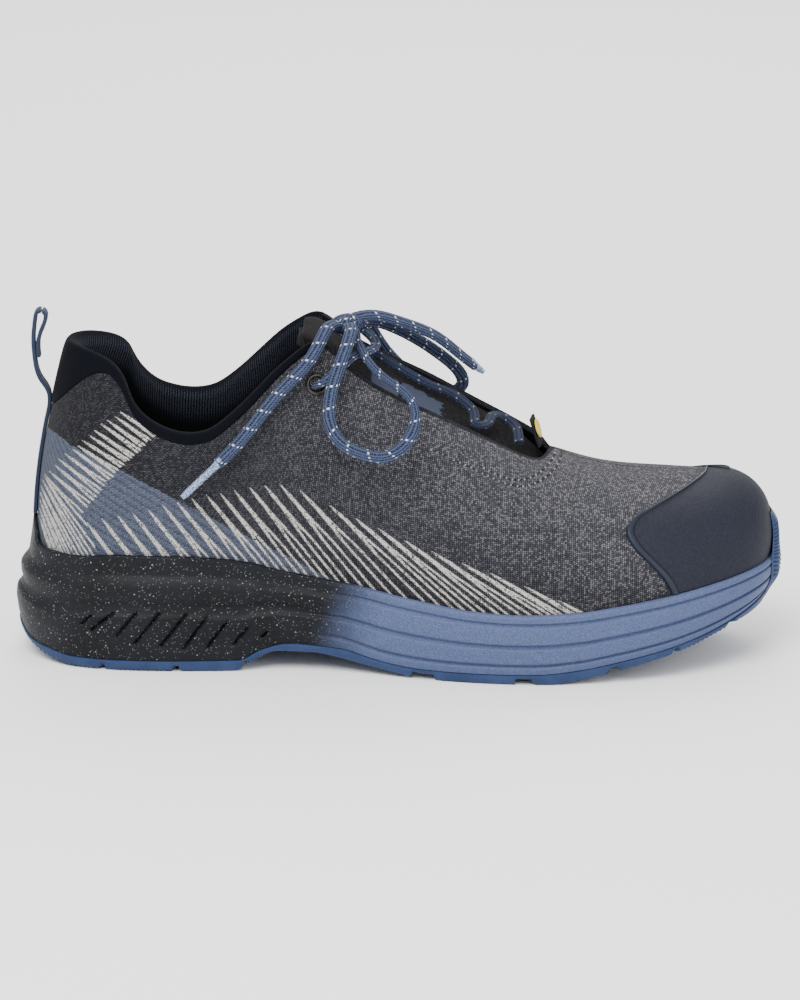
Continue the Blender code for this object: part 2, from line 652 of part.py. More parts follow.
def outsole():
    s = RING
    centre = bed_centre(s)
    side = side_rows(s)
    normal = plan_normal(s)
    zone = toe_zone(s)[:, None]
    edge_top = side[0][:, :2] + normal * (TREAD_OUT + zone * (BUMPER - 0.3))
    edge_low = edge_top - normal * TREAD_CHAMFER
    rows = []

    def bottom(xy):
        return np.column_stack([xy, steps(BOTTOM["x"], BOTTOM["z"], xy[:, 0])])

    rows.append(bottom(centre))
    rows.append(bottom((centre + edge_low) / 2))
    rows.append(bottom(edge_low))
    seam = side[0] - np.array([0, 0, GAP * 1.2])
    low, high = bottom(edge_low), np.column_stack([edge_top, seam[:, 2]])
    shoulder = low * 0.55 + high * 0.45
    shoulder[:, :2] = edge_top - normal * 0.1
    rows.append(shoulder)
    rows.append(high)
    rows.append(seam)
    floor_z = steps(PARTING["x"], PARTING["z"], centre[:, 0]) + GAP / 2
    rows.append(np.column_stack([centre, floor_z - GAP * 1.2]))
    grid = np.array(rows)
    faces = sheet_faces(len(rows), len(s), False, True)
    item = add_mesh("outsole", "outsole", grid.reshape(-1, 3), faces)
    boolean(item, bumper(), "UNION")
    blocks = []
    for x, wide in LUG_GROOVES:
        z = float(steps(BOTTOM["x"], BOTTOM["z"], np.array(x)))
        ahead = float(steps(BOTTOM["x"], BOTTOM["z"], np.array(x + 2.0)))
        behind = float(steps(BOTTOM["x"], BOTTOM["z"], np.array(x - 2.0)))
        along = np.array([4.0, 0.0, ahead - behind])
        along /= np.linalg.norm(along)
        up = np.array([-along[2], 0.0, along[0]])
        centre_at = np.array([x, 0.0, z]) + up * (GROOVE_DEEP - 4.0)
        blocks.append(box_piece(centre_at, along, np.array([0, 1.0, 0]), up, (wide, 130.0, 8.0)))
    half = BUMPER_HALF / HALF_ROUND
    for k in range(BUMPER_GROOVES):
        u = (k + 0.5) / BUMPER_GROOVES * 2 - 1
        at = np.array([1 + u * half * 0.86])
        middle = (bumper_face(at, 0.62)[0] + bumper_face(at, 0.78)[0]) / 2
        out = np.array([*plan_normal(at)[0], 0.0])
        tangent = np.array([-out[1], out[0], 0.0])
        lean = tangent * 0.55 + np.array([0, 0, 1.0])
        lean /= np.linalg.norm(lean)
        cross = np.cross(lean, out)
        centre_at = middle + out * (3.0 - BUMPER_GROOVE_DEEP)
        blocks.append(box_piece(centre_at, cross, lean, out, (BUMPER_GROOVE_WIDE, 17.0, 6.0)))
    boolean(item, cutter_set("tread_cutters", blocks), "DIFFERENCE")
    return item


def bumper_inner(s):
    # Inside of the bumper: clear of the midsole, then of the toe cap
    lip, clip = lip_height(s)
    share = share_at(s, lip)
    normal = plan_normal(s)
    base = plan(s)
    parting = steps(PARTING["x"], PARTING["z"], base[:, 0])
    rows = []
    edge = off(s, share, np.full(s.shape, GAP + LIP))
    toe = ramp(base[:, 0], TOE_FROM, TOE_TIP[0])
    top_out = np.full(s.shape, SIDE_ROWS[-1][3])
    miss = edge[:, :2] - (base + top_out[:, None] * normal)
    for up in (-0.12, 0.1, 0.45, 0.8, 1.03):
        out = -toe * TOE_TUCK * (1 - np.clip(up, 0, 1)) ** 1.5 + GAP
        xy = base + out[:, None] * normal + np.clip(up, 0, 1) ** 2 * miss
        rows.append(np.column_stack([xy, parting + up * (lip - parting)]))
    top_share = share_at(s, np.full(s.shape, BUMPER_TOP))
    low_share = share_at(s, lip + 2.2)
    for up in (0.0, 0.55, 1.0):
        at = low_share + (top_share - low_share) * up
        rows.append(off(s, at, np.full(s.shape, CAP + CAP_RIM + GAP * 2)))
    return rows


def bumper_face(s, up):
    # Outer face of the bumper at a share of its height
    rows = bumper_inner(s)
    at = up * (len(rows) - 1)
    k = min(int(at), len(rows) - 2)
    line = rows[k] * (1 - at + k) + rows[k + 1] * (at - k)
    line[:, :2] += plan_normal(s) * BUMPER
    return line


def bumper():
    half = BUMPER_HALF / HALF_ROUND
    across = np.linspace(-1, 1, 11)
    count = len(bumper_inner(1 + across * half))
    inner, outer = [], []
    for k in range(count):
        narrow = 1 - (1 - BUMPER_TOP_SHARE) * ramp(k / (count - 1), 0.6, 1.0)
        s = 1 + across * half * narrow
        row = bumper_inner(s)[k]
        line = row.copy()
        thick = BUMPER * (0.5 if k == count - 1 else 1.0) * (1 - 0.55 * across**6)
        line[:, :2] += plan_normal(s) * thick[:, None]
        inner.append(row)
        outer.append(line)
    grid = np.array(inner + outer[::-1])
    item = closed_loft("bumper_core", "outsole", grid, True)
    item.hide_render = True
    item.display_type = "WIRE"
    return item


def band_share(s):
    # Share of a section at which the collar takes over from the upper
    inner, t = fold(s)
    along = t * HALF_ROUND
    height = BAND_HEIGHT + (PATCH_HEIGHT - BAND_HEIGHT) * (1 - ramp(along, 8.0, 52.0))
    top = top_point(s)[..., 2]
    facing = station_share(FACING_TOP)
    band = share_at(s, top - height)
    return np.where(t <= facing + 1e-9, band, 1.0)


BAND = band_share(RING)
UPPER_ROWS = 7


def upper_step(j):
    return (j / UPPER_ROWS) ** 0.9


def upper():
    s = RING
    count = len(s)
    rows = UPPER_ROWS
    outer, inner = [], []
    for j in range(rows + 1):
        w = BAND * upper_step(j)
        face = off(s, w, np.zeros(count))
        back = off(s, w, np.full(count, -WALL))
        if j == 0:
            back[:, 2] = face[:, 2]
        outer.append(face)
        inner.append(back)
    facing, throat = station_share(FACING_TOP), station_share(THROAT_FRONT)
    half = len(HALF)
    partner = [0] + [count - i for i in range(1, count)]
    for line in (outer[-1], inner[-1]):
        for i in range(half):
            if HALF[i] >= throat - 1e-9:
                middle = (line[i] + line[partner[i]]) / 2
                line[i], line[partner[i]] = middle, middle.copy()
    grid = np.array(outer + inner[::-1])
    total = len(grid)
    faces = []
    for j in range(total):
        for i in range(count):
            nxt = (i + 1) % count
            if j == rows:
                if min(fold(RING[i])[1], fold(RING[nxt])[1]) >= throat - 1e-9:
                    continue
            below = (j + 1) % total
            faces.append((j * count + i, j * count + nxt, below * count + nxt, below * count + i))
    item = add_mesh("upper", "upper", grid.reshape(-1, 3), faces)
    blocks = []
    for at, w in EYELET_AT:
        middle = off(np.array([at]), np.array([w]), np.array([0.0]))[0]
        out = skin_normal(np.array([at]), np.array([w]))[0]
        blocks.append(tube_block(middle - out * 5, middle + out * 4, EYELET_HOLE / 2 + GAP, 16))
    boolean(item, cutter_set("eyelet_cutters", blocks), "DIFFERENCE")
    return item


def tube_block(start, stop, radius, sides):
    axis = (stop - start) / np.linalg.norm(stop - start)
    first = np.cross(axis, np.array([0, 0, 1.0]))
    first /= np.linalg.norm(first)
    second = np.cross(axis, first)
    points = []
    for end in (start, stop):
        for k in range(sides):
            a = 2 * math.pi * k / sides
            points.append(end + radius * (math.cos(a) * first + math.sin(a) * second))
    faces = [(k, (k + 1) % sides, sides + (k + 1) % sides, sides + k) for k in range(sides)]
    faces.append(tuple(range(sides))[::-1])
    faces.append(tuple(range(sides, 2 * sides)))
    return points, faces


def eyelet_place(x, below):
    share = station_share(x)
    top = top_point(np.array([share]))[0, 2]
    w = share_at(np.array([share]), np.array([top - below]))[0]
    return share, w


EYELET_HOLE = 5.0
EYELET_OUT = 8.4
EYELET_THICK = 0.8
EYELET_STATION, EYELET_BELOW = 76.8, 15.6  # along the sole, and under the facing's top
EYELET_S, EYELET_W = eyelet_place(EYELET_STATION, EYELET_BELOW)
EYELET_AT = ((EYELET_S, EYELET_W), (2 - EYELET_S, EYELET_W))


def eyelets():
    for name, (at, w) in zip(("eyelet_outer", "eyelet_inner"), EYELET_AT):
        middle = off(np.array([at]), np.array([w]), np.array([0.0]))[0]
        out = skin_normal(np.array([at]), np.array([w]))[0]
        middle = middle + out * (0.6 if at > 1 else 0.1)
        first = np.cross(out, np.array([0, 0, 1.0]))
        first /= np.linalg.norm(first)
        second = np.cross(out, first)
        hole, rim = EYELET_HOLE / 2, EYELET_OUT / 2
        # radius, height over the knit
        profile = (
            (hole - 0.5, -WALL),
            (hole - 0.5, GAP + EYELET_THICK * 0.7),
            (hole, GAP + EYELET_THICK),
            (rim - 0.4, GAP + EYELET_THICK),
            (rim, GAP + EYELET_THICK * 0.6),
            (rim, GAP + 0.3),
            (hole, GAP + 0.3),
            (hole, -WALL),
        )
        turns = 12
        grid = []
        for radius, height in profile:
            ring = []
            for k in range(turns):
                a = 2 * math.pi * k / turns
                ring.append(middle + out * height + radius * (math.cos(a) * first + math.sin(a) * second))
            grid.append(ring)
        closed_loft(name, "eyelet", np.array(grid), False)


def cap_start(ring, w):
    # Ring position at which a row of the upper crosses the rear edge of the toe cap
    line = skin(ring, w)
    ahead = line[:, 0] - steps(CAP_EDGE["z"], CAP_EDGE["x"], line[:, 2])
    k = int(np.argmax(ahead > 0))
    part = -ahead[k - 1] / (ahead[k] - ahead[k - 1])
    return ring[k - 1] + part * (ring[k] - ring[k - 1])


def toe_cap():
    # Rows run from the lip to the ridge, columns from the outer edge round the toe to the inner edge
    base_off = GAP + 0.25
    low_z = 0.9
    fine = np.linspace(0.55, 1.0, 181)

    def lip_of(ring):
        return share_at(ring, sum(lip_height(ring)) + low_z)

    heights = (0.0, 0.18, 0.36, 0.50, 0.64, 0.78, 0.90, 1.0)
    rows = len(heights)
    fine_lip = (lip_of(fine), lip_of(2 - fine))
    rim = CAP_RIM_WIDE / HALF_ROUND
    toe = np.concatenate([HALF[HALF > 0.7], (2 - HALF[HALF > 0.7])[::-1][1:]])
    toe_share = (toe - toe[0]) / (toe[-1] - toe[0])
    outer_grid, inner_grid = [], []
    for j, h in enumerate(heights):
        a = cap_start(fine, fine_lip[0] + (1 - fine_lip[0]) * h)
        b = cap_start(2 - fine, fine_lip[1] + (1 - fine_lip[1]) * h)
        left, right = a + 1.35 * rim, b - 1.35 * rim
        core = left + (right - left) * toe_share
        ring = np.concatenate([[a, a + 0.15 * rim, a + rim], core, [b - rim, b - 0.15 * rim, b]])
        step = np.full(len(ring), CAP)
        step[[1, 2, -2, -3]] = CAP + CAP_RIM
        step[[0, -1]] = CAP * 0.8
        low = lip_of(ring)
        w = low + (1 - low) * h
        base = off(ring, w, np.full(len(ring), base_off))
        face = off(ring, w, GAP + step)
        if j == rows - 1:
            count = len(ring)
            for line in (base, face):
                for i in range(count // 2 + 1):
                    middle = (line[i] + line[count - 1 - i]) / 2
                    line[i], line[count - 1 - i] = middle, middle.copy()
        outer_grid.append(face)
        inner_grid.append(base)
    grid = np.array(outer_grid + inner_grid[::-1])
    total, count = grid.shape[:2]
    faces = []
    for j in range(total):
        for i in range(count - 1):
            if j == rows - 1:
                continue
            below = (j + 1) % total
            faces.append((j * count + i, j * count + i + 1, below * count + i + 1, below * count + i))
    for j in range(rows - 1):
        low = total - 1 - j
        faces.append((j * count, (j + 1) * count, (low - 1) * count, low * count))
        end = count - 1
        faces.append((j * count + end, low * count + end, (low - 1) * count + end, (j + 1) * count + end))
    return add_mesh("toe_cap", "toe_cap", grid.reshape(-1, 3), faces)


COLLAR_STEP = 0.0056  # share of a section left between upper and collar
COLLAR_CLEAR = 0.45
PAD_END = 0.45  # padding left at the facing


def collar():
    facing = station_share(FACING_TOP)
    half = [v for v in HALF if v <= facing + 1e-9]
    s = np.array([2 - v for v in half[::-1][:-1]] + half)
    s[-1] -= 0.004
    s[0] += 0.004
    band = band_share(s)
    inner, t = fold(s)
    end = 1 - ramp(t, facing - 0.05, facing)
    low = band * upper_step(UPPER_ROWS - 3)
    step = COLLAR_STEP
    inside = WALL + GAP + COLLAR_CLEAR
    pad = PAD * (PAD_END + (1 - PAD_END) * end)
    rows = [
        off(s, band + step, np.zeros(len(s))),
        off(s, band + (1 - band) * 0.5, np.full(len(s), 0.35)),
        off(s, band + (1 - band) * 0.9, np.full(len(s), 0.05)),
        off(s, np.ones(len(s)), np.full(len(s), -1.0)) + np.array([0, 0, 0.9]),
        off(s, np.full(len(s), 0.995), -0.45 * (inside + pad)) + np.array([0, 0, 1.2]),
        off(s, np.full(len(s), 0.985), -0.85 * (inside + pad)),
        off(s, 0.96 - 0.02 * end, -(inside + pad)),
        off(s, (low + 0.95) / 2, -(inside + pad)),
        off(s, low + 0.02, -(inside + pad * 0.6)),
        off(s, low, np.full(len(s), -inside)),
        off(s, band * upper_step(UPPER_ROWS - 2), np.full(len(s), -inside)),
        off(s, band * upper_step(UPPER_ROWS - 1), np.full(len(s), -inside)),
        off(s, band + step, np.full(len(s), -inside)),
    ]
    return closed_loft("collar", "collar", np.array(rows), True)


TONGUE_CLEAR, TONGUE_CROWN = 0.9, 0.8
TONGUE_HALF, TONGUE_SIDE = 20.0, 0.7  # its sides are thick across, not up and down
TONGUE_START, TONGUE_STOP = 84.0, 147.0


def tongue_section(t):
    # Wing, edge and crown of the tongue under both edges of the throat
    clear = WALL + GAP + TONGUE_CLEAR
    pair = np.array([t, 2 - t])
    edge = off(pair, np.full(2, 0.985), np.full(2, -clear))
    wing = off(pair, np.full(2, 0.93), np.full(2, -clear))
    crown = edge.mean(0) + np.array([0.35, 0.0, 1.0]) * TONGUE_CROWN
    lift = np.array([0, 0, 0.5])
    shoulders = (edge + crown) / 2 + lift
    over = [wing[0], edge[0], shoulders[0], crown, shoulders[1], edge[1], wing[1]]
    inward = np.array([-0.55, 0.0, -0.83]) * TONGUE
    middle = crown[1]
    below = []
    for i, point in enumerate(over):
        towards = (middle - point[1]) / TONGUE_HALF * TONGUE * TONGUE_SIDE
        below.append(point + inward * (0.5 if i in (0, 6) else 1.0) + np.array([0.0, towards, 0.0]))
    return np.array(over + below[::-1])


TONGUE_HEAD = (
    # back, rise, narrow
    (10.5, 5.4, 0.62),
    (7.4, 4.8, 0.76),
    (4.0, 3.0, 0.88),
)
TONGUE_FOOT = (12.0, 0.0, -9.5, 0.55)  # last section beyond the throat, and its share of the width


def tongue():
    shares = np.linspace(station_share(TONGUE_START), station_share(TONGUE_STOP), 9)
    first = tongue_section(shares[0])
    middle = first.mean(0)
    sections = []
    for back, rise, narrow in TONGUE_HEAD:
        moved = first.copy()
        moved[:, 1:] = middle[1:] + (first[:, 1:] - middle[1:]) * np.array([narrow, 0.5 + narrow / 2])
        sections.append(moved + np.array([-back, 0.0, rise]))
    sections += [tongue_section(t) for t in shares]
    last = sections[-1].copy()
    last[:, 1] = last[:, 1].mean() + (last[:, 1] - last[:, 1].mean()) * TONGUE_FOOT[3]
    sections.append(last + np.array(TONGUE_FOOT[:3]))
    grid = np.array(sections).transpose(1, 0, 2)
    return closed_loft("tongue", "tongue", grid, True)


def insole():
    s = RING
    centre = bed_centre(s)
    clear = WALL + 0.5
    edge = off(s, np.zeros(len(s)), np.full(len(s), -clear))
    low = np.column_stack([edge[:, :2], steps(BED["x"], BED["z"], edge[:, 0]) + GAP * 2])
    high = low + np.array([0, 0, INSOLE])
    centre_low = np.column_stack([centre, steps(BED["x"], BED["z"], centre[:, 0]) + GAP * 2])
    up = np.array([0, 0, INSOLE])
    grid = np.array([centre_low, low, high, centre_low + up])
    return add_mesh("insole", "insole", grid.reshape(-1, 3), sheet_faces(4, len(s), False, True))


def ribbon(name, slot, line, wide, thick):
    # Flat band that runs along a line in the middle plane of the heel
    line = np.array(line)
    tangent = np.gradient(line, axis=0)
    tangent /= np.linalg.norm(tangent, axis=1, keepdims=True)
    side = np.tile(np.array([0, 1.0, 0]), (len(line), 1))
    normal = np.cross(side, tangent)
    rows = []
    for a, b in ((-1, -1), (-1, 1), (1, 1), (1, -1)):
        rows.append(line + side * a * wide / 2 + normal * b * thick / 2)
    return closed_loft(name, slot, np.array(rows), True)


LOOP_WIDE, LOOP_THICK = 7.0, 1.2
LOOP_FOLD = (
    # x, z
    (-29.2, 103.0),
    (-32.2, 108.0),
    (-34.2, 116.0),
    (-34.6, 124.0),
    (-33.9, 131.0),
    (-32.3, 134.6),
    (-30.3, 134.2),
    (-29.9, 131.0),
    (-31.4, 127.0),
    (-32.7, 122.5),
    (-32.6, 116.5),
)


def smooth_line(points, count):
    # Natural spline through points, resampled evenly
    points = np.array(points, float)
    along = np.concatenate([[0], np.cumsum(np.linalg.norm(np.diff(points, axis=0), axis=1))])
    fine = np.linspace(0, along[-1], 400)
    dense = np.stack([spline(along, points[:, k], fine) for k in range(points.shape[1])], -1)
    length = np.concatenate([[0], np.cumsum(np.linalg.norm(np.diff(dense, axis=0), axis=1))])
    at = np.linspace(0, length[-1], count)
    return np.stack([np.interp(at, length, dense[:, k]) for k in range(points.shape[1])], -1)


def pull_loop():
    s = np.zeros(9)
    start = float(share_at(np.array([0.0]), np.array([55.5]))[0])
    stop = float(share_at(np.array([0.0]), np.array([97.0]))[0])
    on_heel = off(s, np.linspace(start, stop, 9), np.full(9, GAP + 0.25 + LOOP_THICK / 2 + 0.1))
    on_heel[:, 1] = 0.0
    free = np.array([[x, 0.0, z] for x, z in LOOP_FOLD])
    line = smooth_line(np.vstack([on_heel, free]), 24)
    return ribbon("pull_loop", "lace", line, LOOP_WIDE, LOOP_THICK)


FLAT_UP = (0.0, -0.55, 0.83)  # way the flat of a lace faces
FLAT_INNER = (0.0, 0.83, 0.55)


def cord(name, slot, points, width, thick, count, facing=FLAT_UP):
    # Flat-round braid: an oval section carried along a smooth line
    line = smooth_line(points, count)
    tangent = np.gradient(line, axis=0)
    tangent /= np.linalg.norm(tangent, axis=1, keepdims=True)
    side = np.cross(tangent, np.array(facing))
    side /= np.linalg.norm(side, axis=1, keepdims=True)
    up = np.cross(side, tangent)
    rows = []
    sides = CORD_SIDES
    for k in range(sides):
        a = 2 * math.pi * k / sides
        rows.append(line + side * math.cos(a) * width / 2 + up * math.sin(a) * thick / 2)
    return closed_loft(name, slot, np.array(rows), True)


KNOT = np.array([86.5, -4.0, 129.8])
KNOT_HALF = (6.2, 9.0, 4.2)
KNOT_BULGE = 0.10
LACE_OUTER_END = (
    (84.0, -8.0, 130.4),
    (80.4, -15.4, 131.6),
    (74.3, -27.6, 123.4),
    (60.6, -36.2, 109.4),
    (45.0, -40.0, 90.6),
    (38.0, -41.2, 83.8),
)
LACE_OUTER_LOOP = (
    (87.4, -8.0, 130.0),
    (88.6, -16.5, 130.8),
    (84.6, -31.4, 120.6),
    (80.6, -36.6, 107.2),
    (80.8, -39.2, 99.1),
    (84.4, -41.6, 92.8),
    (93.8, -44.2, 88.2),
    (101.7, -44.6, 87.4),
    (108.3, -42.6, 90.6),
    (112.2, -39.2, 95.6),
    (113.4, -35.0, 101.6),
    (111.0, -30.8, 107.2),
    (105.6, -27.4, 111.8),
    (99.6, -24.0, 118.0),
    (96.4, -17.6, 124.4),
    (94.6, -11.0, 127.6),
    (88.6, -5.0, 129.2),
)
LACE_INNER_END = (
    (87.4, -2.5, 131.2),
    (95.0, 1.5, 132.6),
    (107.5, 10.0, 129.2),
    (123.0, 20.0, 120.6),
    (132.6, 27.4, 109.8),
    (136.2, 30.2, 105.6),
)
LACE_INNER_LOOP = (
    (88.6, -3.4, 129.2),
    (96.0, 2.4, 127.2),
    (104.0, 12.0, 122.6),
    (118.0, 23.0, 114.6),
    (127.4, 29.6, 106.6),
    (133.0, 34.0, 100.6),
    (134.2, 38.0, 94.8),
    (129.2, 40.4, 91.4),
    (120.4, 39.6, 93.6),
    (109.0, 36.4, 102.2),
    (100.0, 32.4, 113.4),
    (95.0, 25.6, 123.4),
    (91.4, 14.0, 128.6),
    (87.6, 3.0, 129.8),
)
TIP_LONG_OUTER, TIP_LONG_INNER = 19.0, 6.0
TIP_GAP = 0.12
LACE_BAR = (
    (78.6, -31.4, 113.2),
    (83.6, -27.6, 117.4),
    (89.5, -20.0, 121.0),
    (96.0, -6.0, 120.0),
    (98.0, 5.0, 120.2),
    (95.0, 16.0, 121.5),
    (88.5, 27.4, 122.0),
    (82.5, 32.6, 117.6),
    (78.0, 33.6, 113.8),
)
CORD_SIDES = 6


def knot_mesh(name, grow):
    # Rounded lump wrapped across the throat
    turns, rows = 12, 7
    grid = []
    for j in range(1, rows):
        b = math.pi * j / rows
        ring = []
        for k in range(turns):
            a = 2 * math.pi * k / turns
            bulge = 1 + KNOT_BULGE * math.cos(3 * a)
            shape = (math.cos(a) * math.sin(b) * bulge, math.cos(b), math.sin(a) * math.sin(b))
            ring.append(KNOT + np.array(shape) * KNOT_HALF * grow)
        grid.append(ring)
    grid = np.array(grid)
    faces = sheet_faces(len(grid), turns, False, True)
    faces.append(tuple(range(turns)))
    faces.append(tuple((len(grid) - 1) * turns + k for k in range(turns))[::-1])
    return add_mesh(name, "lace", grid.reshape(-1, 3), faces)


def lace_tip(name, route, length):
    end = np.array(route[-1])
    away = end - smooth_line(route, 60)[-3]
    away /= np.linalg.norm(away)
    start = end + away * TIP_GAP
    cord(name, "lace_tip", [start, start + away * length / 2, start + away * length], TIP_D, TIP_D, 4)


def laces():
    thick = 2 * LACE_HALF_THICK
    knot_mesh("lace_knot", 1.0)
    trim = knot_mesh("knot_cutter", 1.002)
    trim.hide_render = True
    trim.display_type = "WIRE"
    routes = (
        ("lace_end_outer", LACE_OUTER_END, 13, FLAT_UP),
        ("lace_loop_outer", LACE_OUTER_LOOP, 24, FLAT_UP),
        ("lace_loop_inner", LACE_INNER_LOOP, 22, FLAT_INNER),
        ("lace_end_inner", LACE_INNER_END, 13, FLAT_UP),
    )
    for name, route, count, facing in routes:
        boolean(cord(name, "lace", route, LACE, thick, count, facing), trim, "DIFFERENCE")
    cord("lace_top_bar", "lace", LACE_BAR, LACE * 0.8, 2.2, 15)
    lace_tip("lace_tip_outer", LACE_OUTER_END, TIP_LONG_OUTER)
    lace_tip("lace_tip_inner", LACE_INNER_END, TIP_LONG_INNER)


CROSSINGS = (
    # station, side share from outer to inner edge, lift over the throat's edges
    (91.0, 0.62, 4.6),
    (98.0, 0.74, 4.2),
    (108.0, 0.74, 4.0),
    (118.0, 0.60, 4.6),
    (124.0, 0.34, 4.4),
    (127.6, 0.20, 3.4),
    (131.0, 0.30, 4.0),
    (134.0, 0.55, 4.8),
    (138.0, 0.78, 4.0),
    (142.6, 0.70, 4.2),
    (145.6, 0.40, 4.6),
    (147.6, 0.22, 3.6),
)


def crossings():
    # One zigzag over the tongue, joined at its turns
    points = []
    for x, across, lift in CROSSINGS:
        t = station_share(x)
        pair = off(np.array([t, 2 - t]), np.array([0.985, 0.985]), np.full(2, -(WALL + GAP + 0.3)))
        middle = pair[0] * (1 - across) + pair[1] * across
        points.append(middle + np.array([0.35, 0.0, 1.0]) * lift)
    cord("lace_crossings", "lace", points, LACE * 0.85, 2.0, 28)


TAB_SIZE = (8.6, 11.6, 1.0)  # wide, tall, thick
TAB_LEAN = (-0.30, 0.0, 0.954)
TAB_FROM_FRONT = (-6.0, -0.6, 6.6)  # its middle, from the throat's front
DISC_D, DISC_THICK, DISC_UP = 7.6, 0.8, 0.8


def throat_tab():
    front = top_point(np.array([station_share(THROAT_FRONT)]))[0]
    centre = front + np.array(TAB_FROM_FRONT)
    along, across = np.array(TAB_LEAN), np.array([0, 1.0, 0])
    out = np.cross(across, along)
    add_mesh("throat_tab", "tab", *box_piece(centre, across, along, out, TAB_SIZE))
    disc_at = centre + along * DISC_UP + out * (TAB_SIZE[2] / 2 + GAP + DISC_THICK / 2)
    half = out * DISC_THICK / 2
    add_mesh("tab_disc", "tab_disc", *tube_block(disc_at - half, disc_at + half, DISC_D / 2, 16))


clear_objects()
outsole()
midsole()
upper()
tongue()
insole()
toe_cap()
collar()
eyelets()
pull_loop()
laces()
crossings()
throat_tab()
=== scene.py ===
import math

import bmesh
import bpy
import numpy as np
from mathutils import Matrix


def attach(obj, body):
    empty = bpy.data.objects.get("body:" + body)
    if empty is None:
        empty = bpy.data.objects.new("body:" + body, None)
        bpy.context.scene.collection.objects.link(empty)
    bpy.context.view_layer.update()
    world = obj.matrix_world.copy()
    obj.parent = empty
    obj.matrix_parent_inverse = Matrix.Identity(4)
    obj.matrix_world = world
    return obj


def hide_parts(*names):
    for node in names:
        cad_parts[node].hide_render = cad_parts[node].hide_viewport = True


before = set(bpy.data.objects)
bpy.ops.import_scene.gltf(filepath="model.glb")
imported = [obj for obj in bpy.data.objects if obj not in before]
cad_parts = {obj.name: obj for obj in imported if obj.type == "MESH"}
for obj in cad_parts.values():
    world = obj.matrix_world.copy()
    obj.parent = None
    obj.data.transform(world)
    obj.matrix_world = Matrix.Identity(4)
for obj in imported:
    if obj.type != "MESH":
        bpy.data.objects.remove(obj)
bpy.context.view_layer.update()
print("frame loaded with", len(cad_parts), "nodes")

mm = 0.001
weld = 0.004 * mm
circle = 2 * math.pi
elevation = math.radians(15)

# camera, light and floor
view = {"target": (0.1075, 0.0, 0.0584), "distance": 2.1, "span": 0.391, "sensor": 36.0}
light = {
    "lamps": (("key", (-0.35, -1.1, 1.5), 46.0), ("fill", (1.5, -1.3, 0.8), 14.0), ("back", (0.2, 1.4, 1.3), 22.0)),
    "size": 1.2,
    "skyStrength": 1.15, "floor": (0.95, 0.95, 0.95),
}


def aimAt(item, target):
    # turns an object's -Z towards a point
    gap = item.location - type(item.location)(target)
    item.rotation_euler = gap.to_track_quat("Z", "Y").to_euler()


def addLamp(name, at, size, power):
    lamp = bpy.data.lights.new(name, "AREA")
    lamp.size, lamp.energy = size, power
    item = bpy.data.objects.new(name, lamp)
    bpy.context.scene.collection.objects.link(item)
    item.location = at
    aimAt(item, view["target"])


eye = bpy.data.cameras.new("eye")
eye.sensor_width = view["sensor"]
eye.lens = view["sensor"] * view["distance"] / view["span"]
eye.clip_start, eye.clip_end = 0.05, 50
camera = bpy.data.objects.new("eye", eye)
bpy.context.scene.collection.objects.link(camera)
x, y, z = view["target"]
back, up = view["distance"] * math.cos(elevation), view["distance"] * math.sin(elevation)
camera.location = (x, y - back, z + up)
aimAt(camera, view["target"])
bpy.context.scene.camera = camera
for name, at, power in light["lamps"]:
    addLamp(name, at, light["size"], power)
world = bpy.data.worlds.new("room")
bpy.context.scene.world = world
world.use_nodes = True
world.node_tree.nodes["Background"].inputs[0].default_value = (1, 1, 1, 1)
world.node_tree.nodes["Background"].inputs[1].default_value = light["skyStrength"]
print("camera and lights placed")

# the last and the sole, in millimetres
shoe = {
    "heelBack": -43.2, "gap": 0.3, "wall": 2.0, "lip": 2.2, "bandHeight": 3.2, "patchHeight": 24.0,
    "throatFront": 165.0, "facingTop": 78.0, "bumperHalf": 17.0, "bumper": 1.9,
    "bumperTopShare": 0.45,
}
outline = {
    "x": (-41.0, -35.0, -25.0, -10.0, 10.0, 35.0, 60.0, 85.0, 110.0, 135.0, 158.0, 180.0, 200.0, 218.0,
          234.0, 246.0, 252.5),
    "outer": (11.0, 21.5, 30.5, 36.5, 39.5, 39.5, 38.5, 41.0, 48.0, 54.5, 57.3, 56.3, 52.6, 46.3, 37.0,
              25.5, 13.5),
    "inner": (11.0, 21.0, 29.5, 34.5, 36.5, 35.0, 31.5, 32.0, 38.5, 45.5, 49.5, 50.0, 48.6, 45.0, 38.2,
              29.0, 18.5),
    "toeTip": (255.2, 3.5),
}
bottomLine = {
    "x": (-43.2, -36.0, -29.0, -20.0, -13.0, 44.0, 48.0, 52.4, 60.0, 74.0, 81.0, 95.0, 110.0, 117.0, 165.0,
          176.0, 187.0, 202.0, 219.0, 229.0, 239.0, 249.0, 258.0),
    "z": (9.5, 4.8, 2.0, 0.3, 0.0, 0.0, 1.8, 4.9, 7.6, 7.4, 6.3, 3.4, 0.8, 0.0, 0.0, 1.4, 3.6, 7.0, 11.2,
          14.6, 17.8, 20.8, 23.4),
}
partingLine = {
    "x": (-43.2, -38.0, -28.0, -20.0, -7.0, 45.0, 54.0, 64.0, 84.0, 95.0, 103.0, 115.0, 126.0, 145.0, 161.0,
          176.0, 192.0, 206.0, 221.0, 237.0, 244.0, 252.0, 258.0),
    "z": (12.5, 7.6, 5.4, 4.2, 4.0, 4.2, 8.4, 10.9, 9.6, 6.9, 5.2, 3.9, 3.6, 3.6, 3.9, 5.4, 8.2, 10.9, 14.3,
          18.9, 21.3, 24.3, 26.6),
}
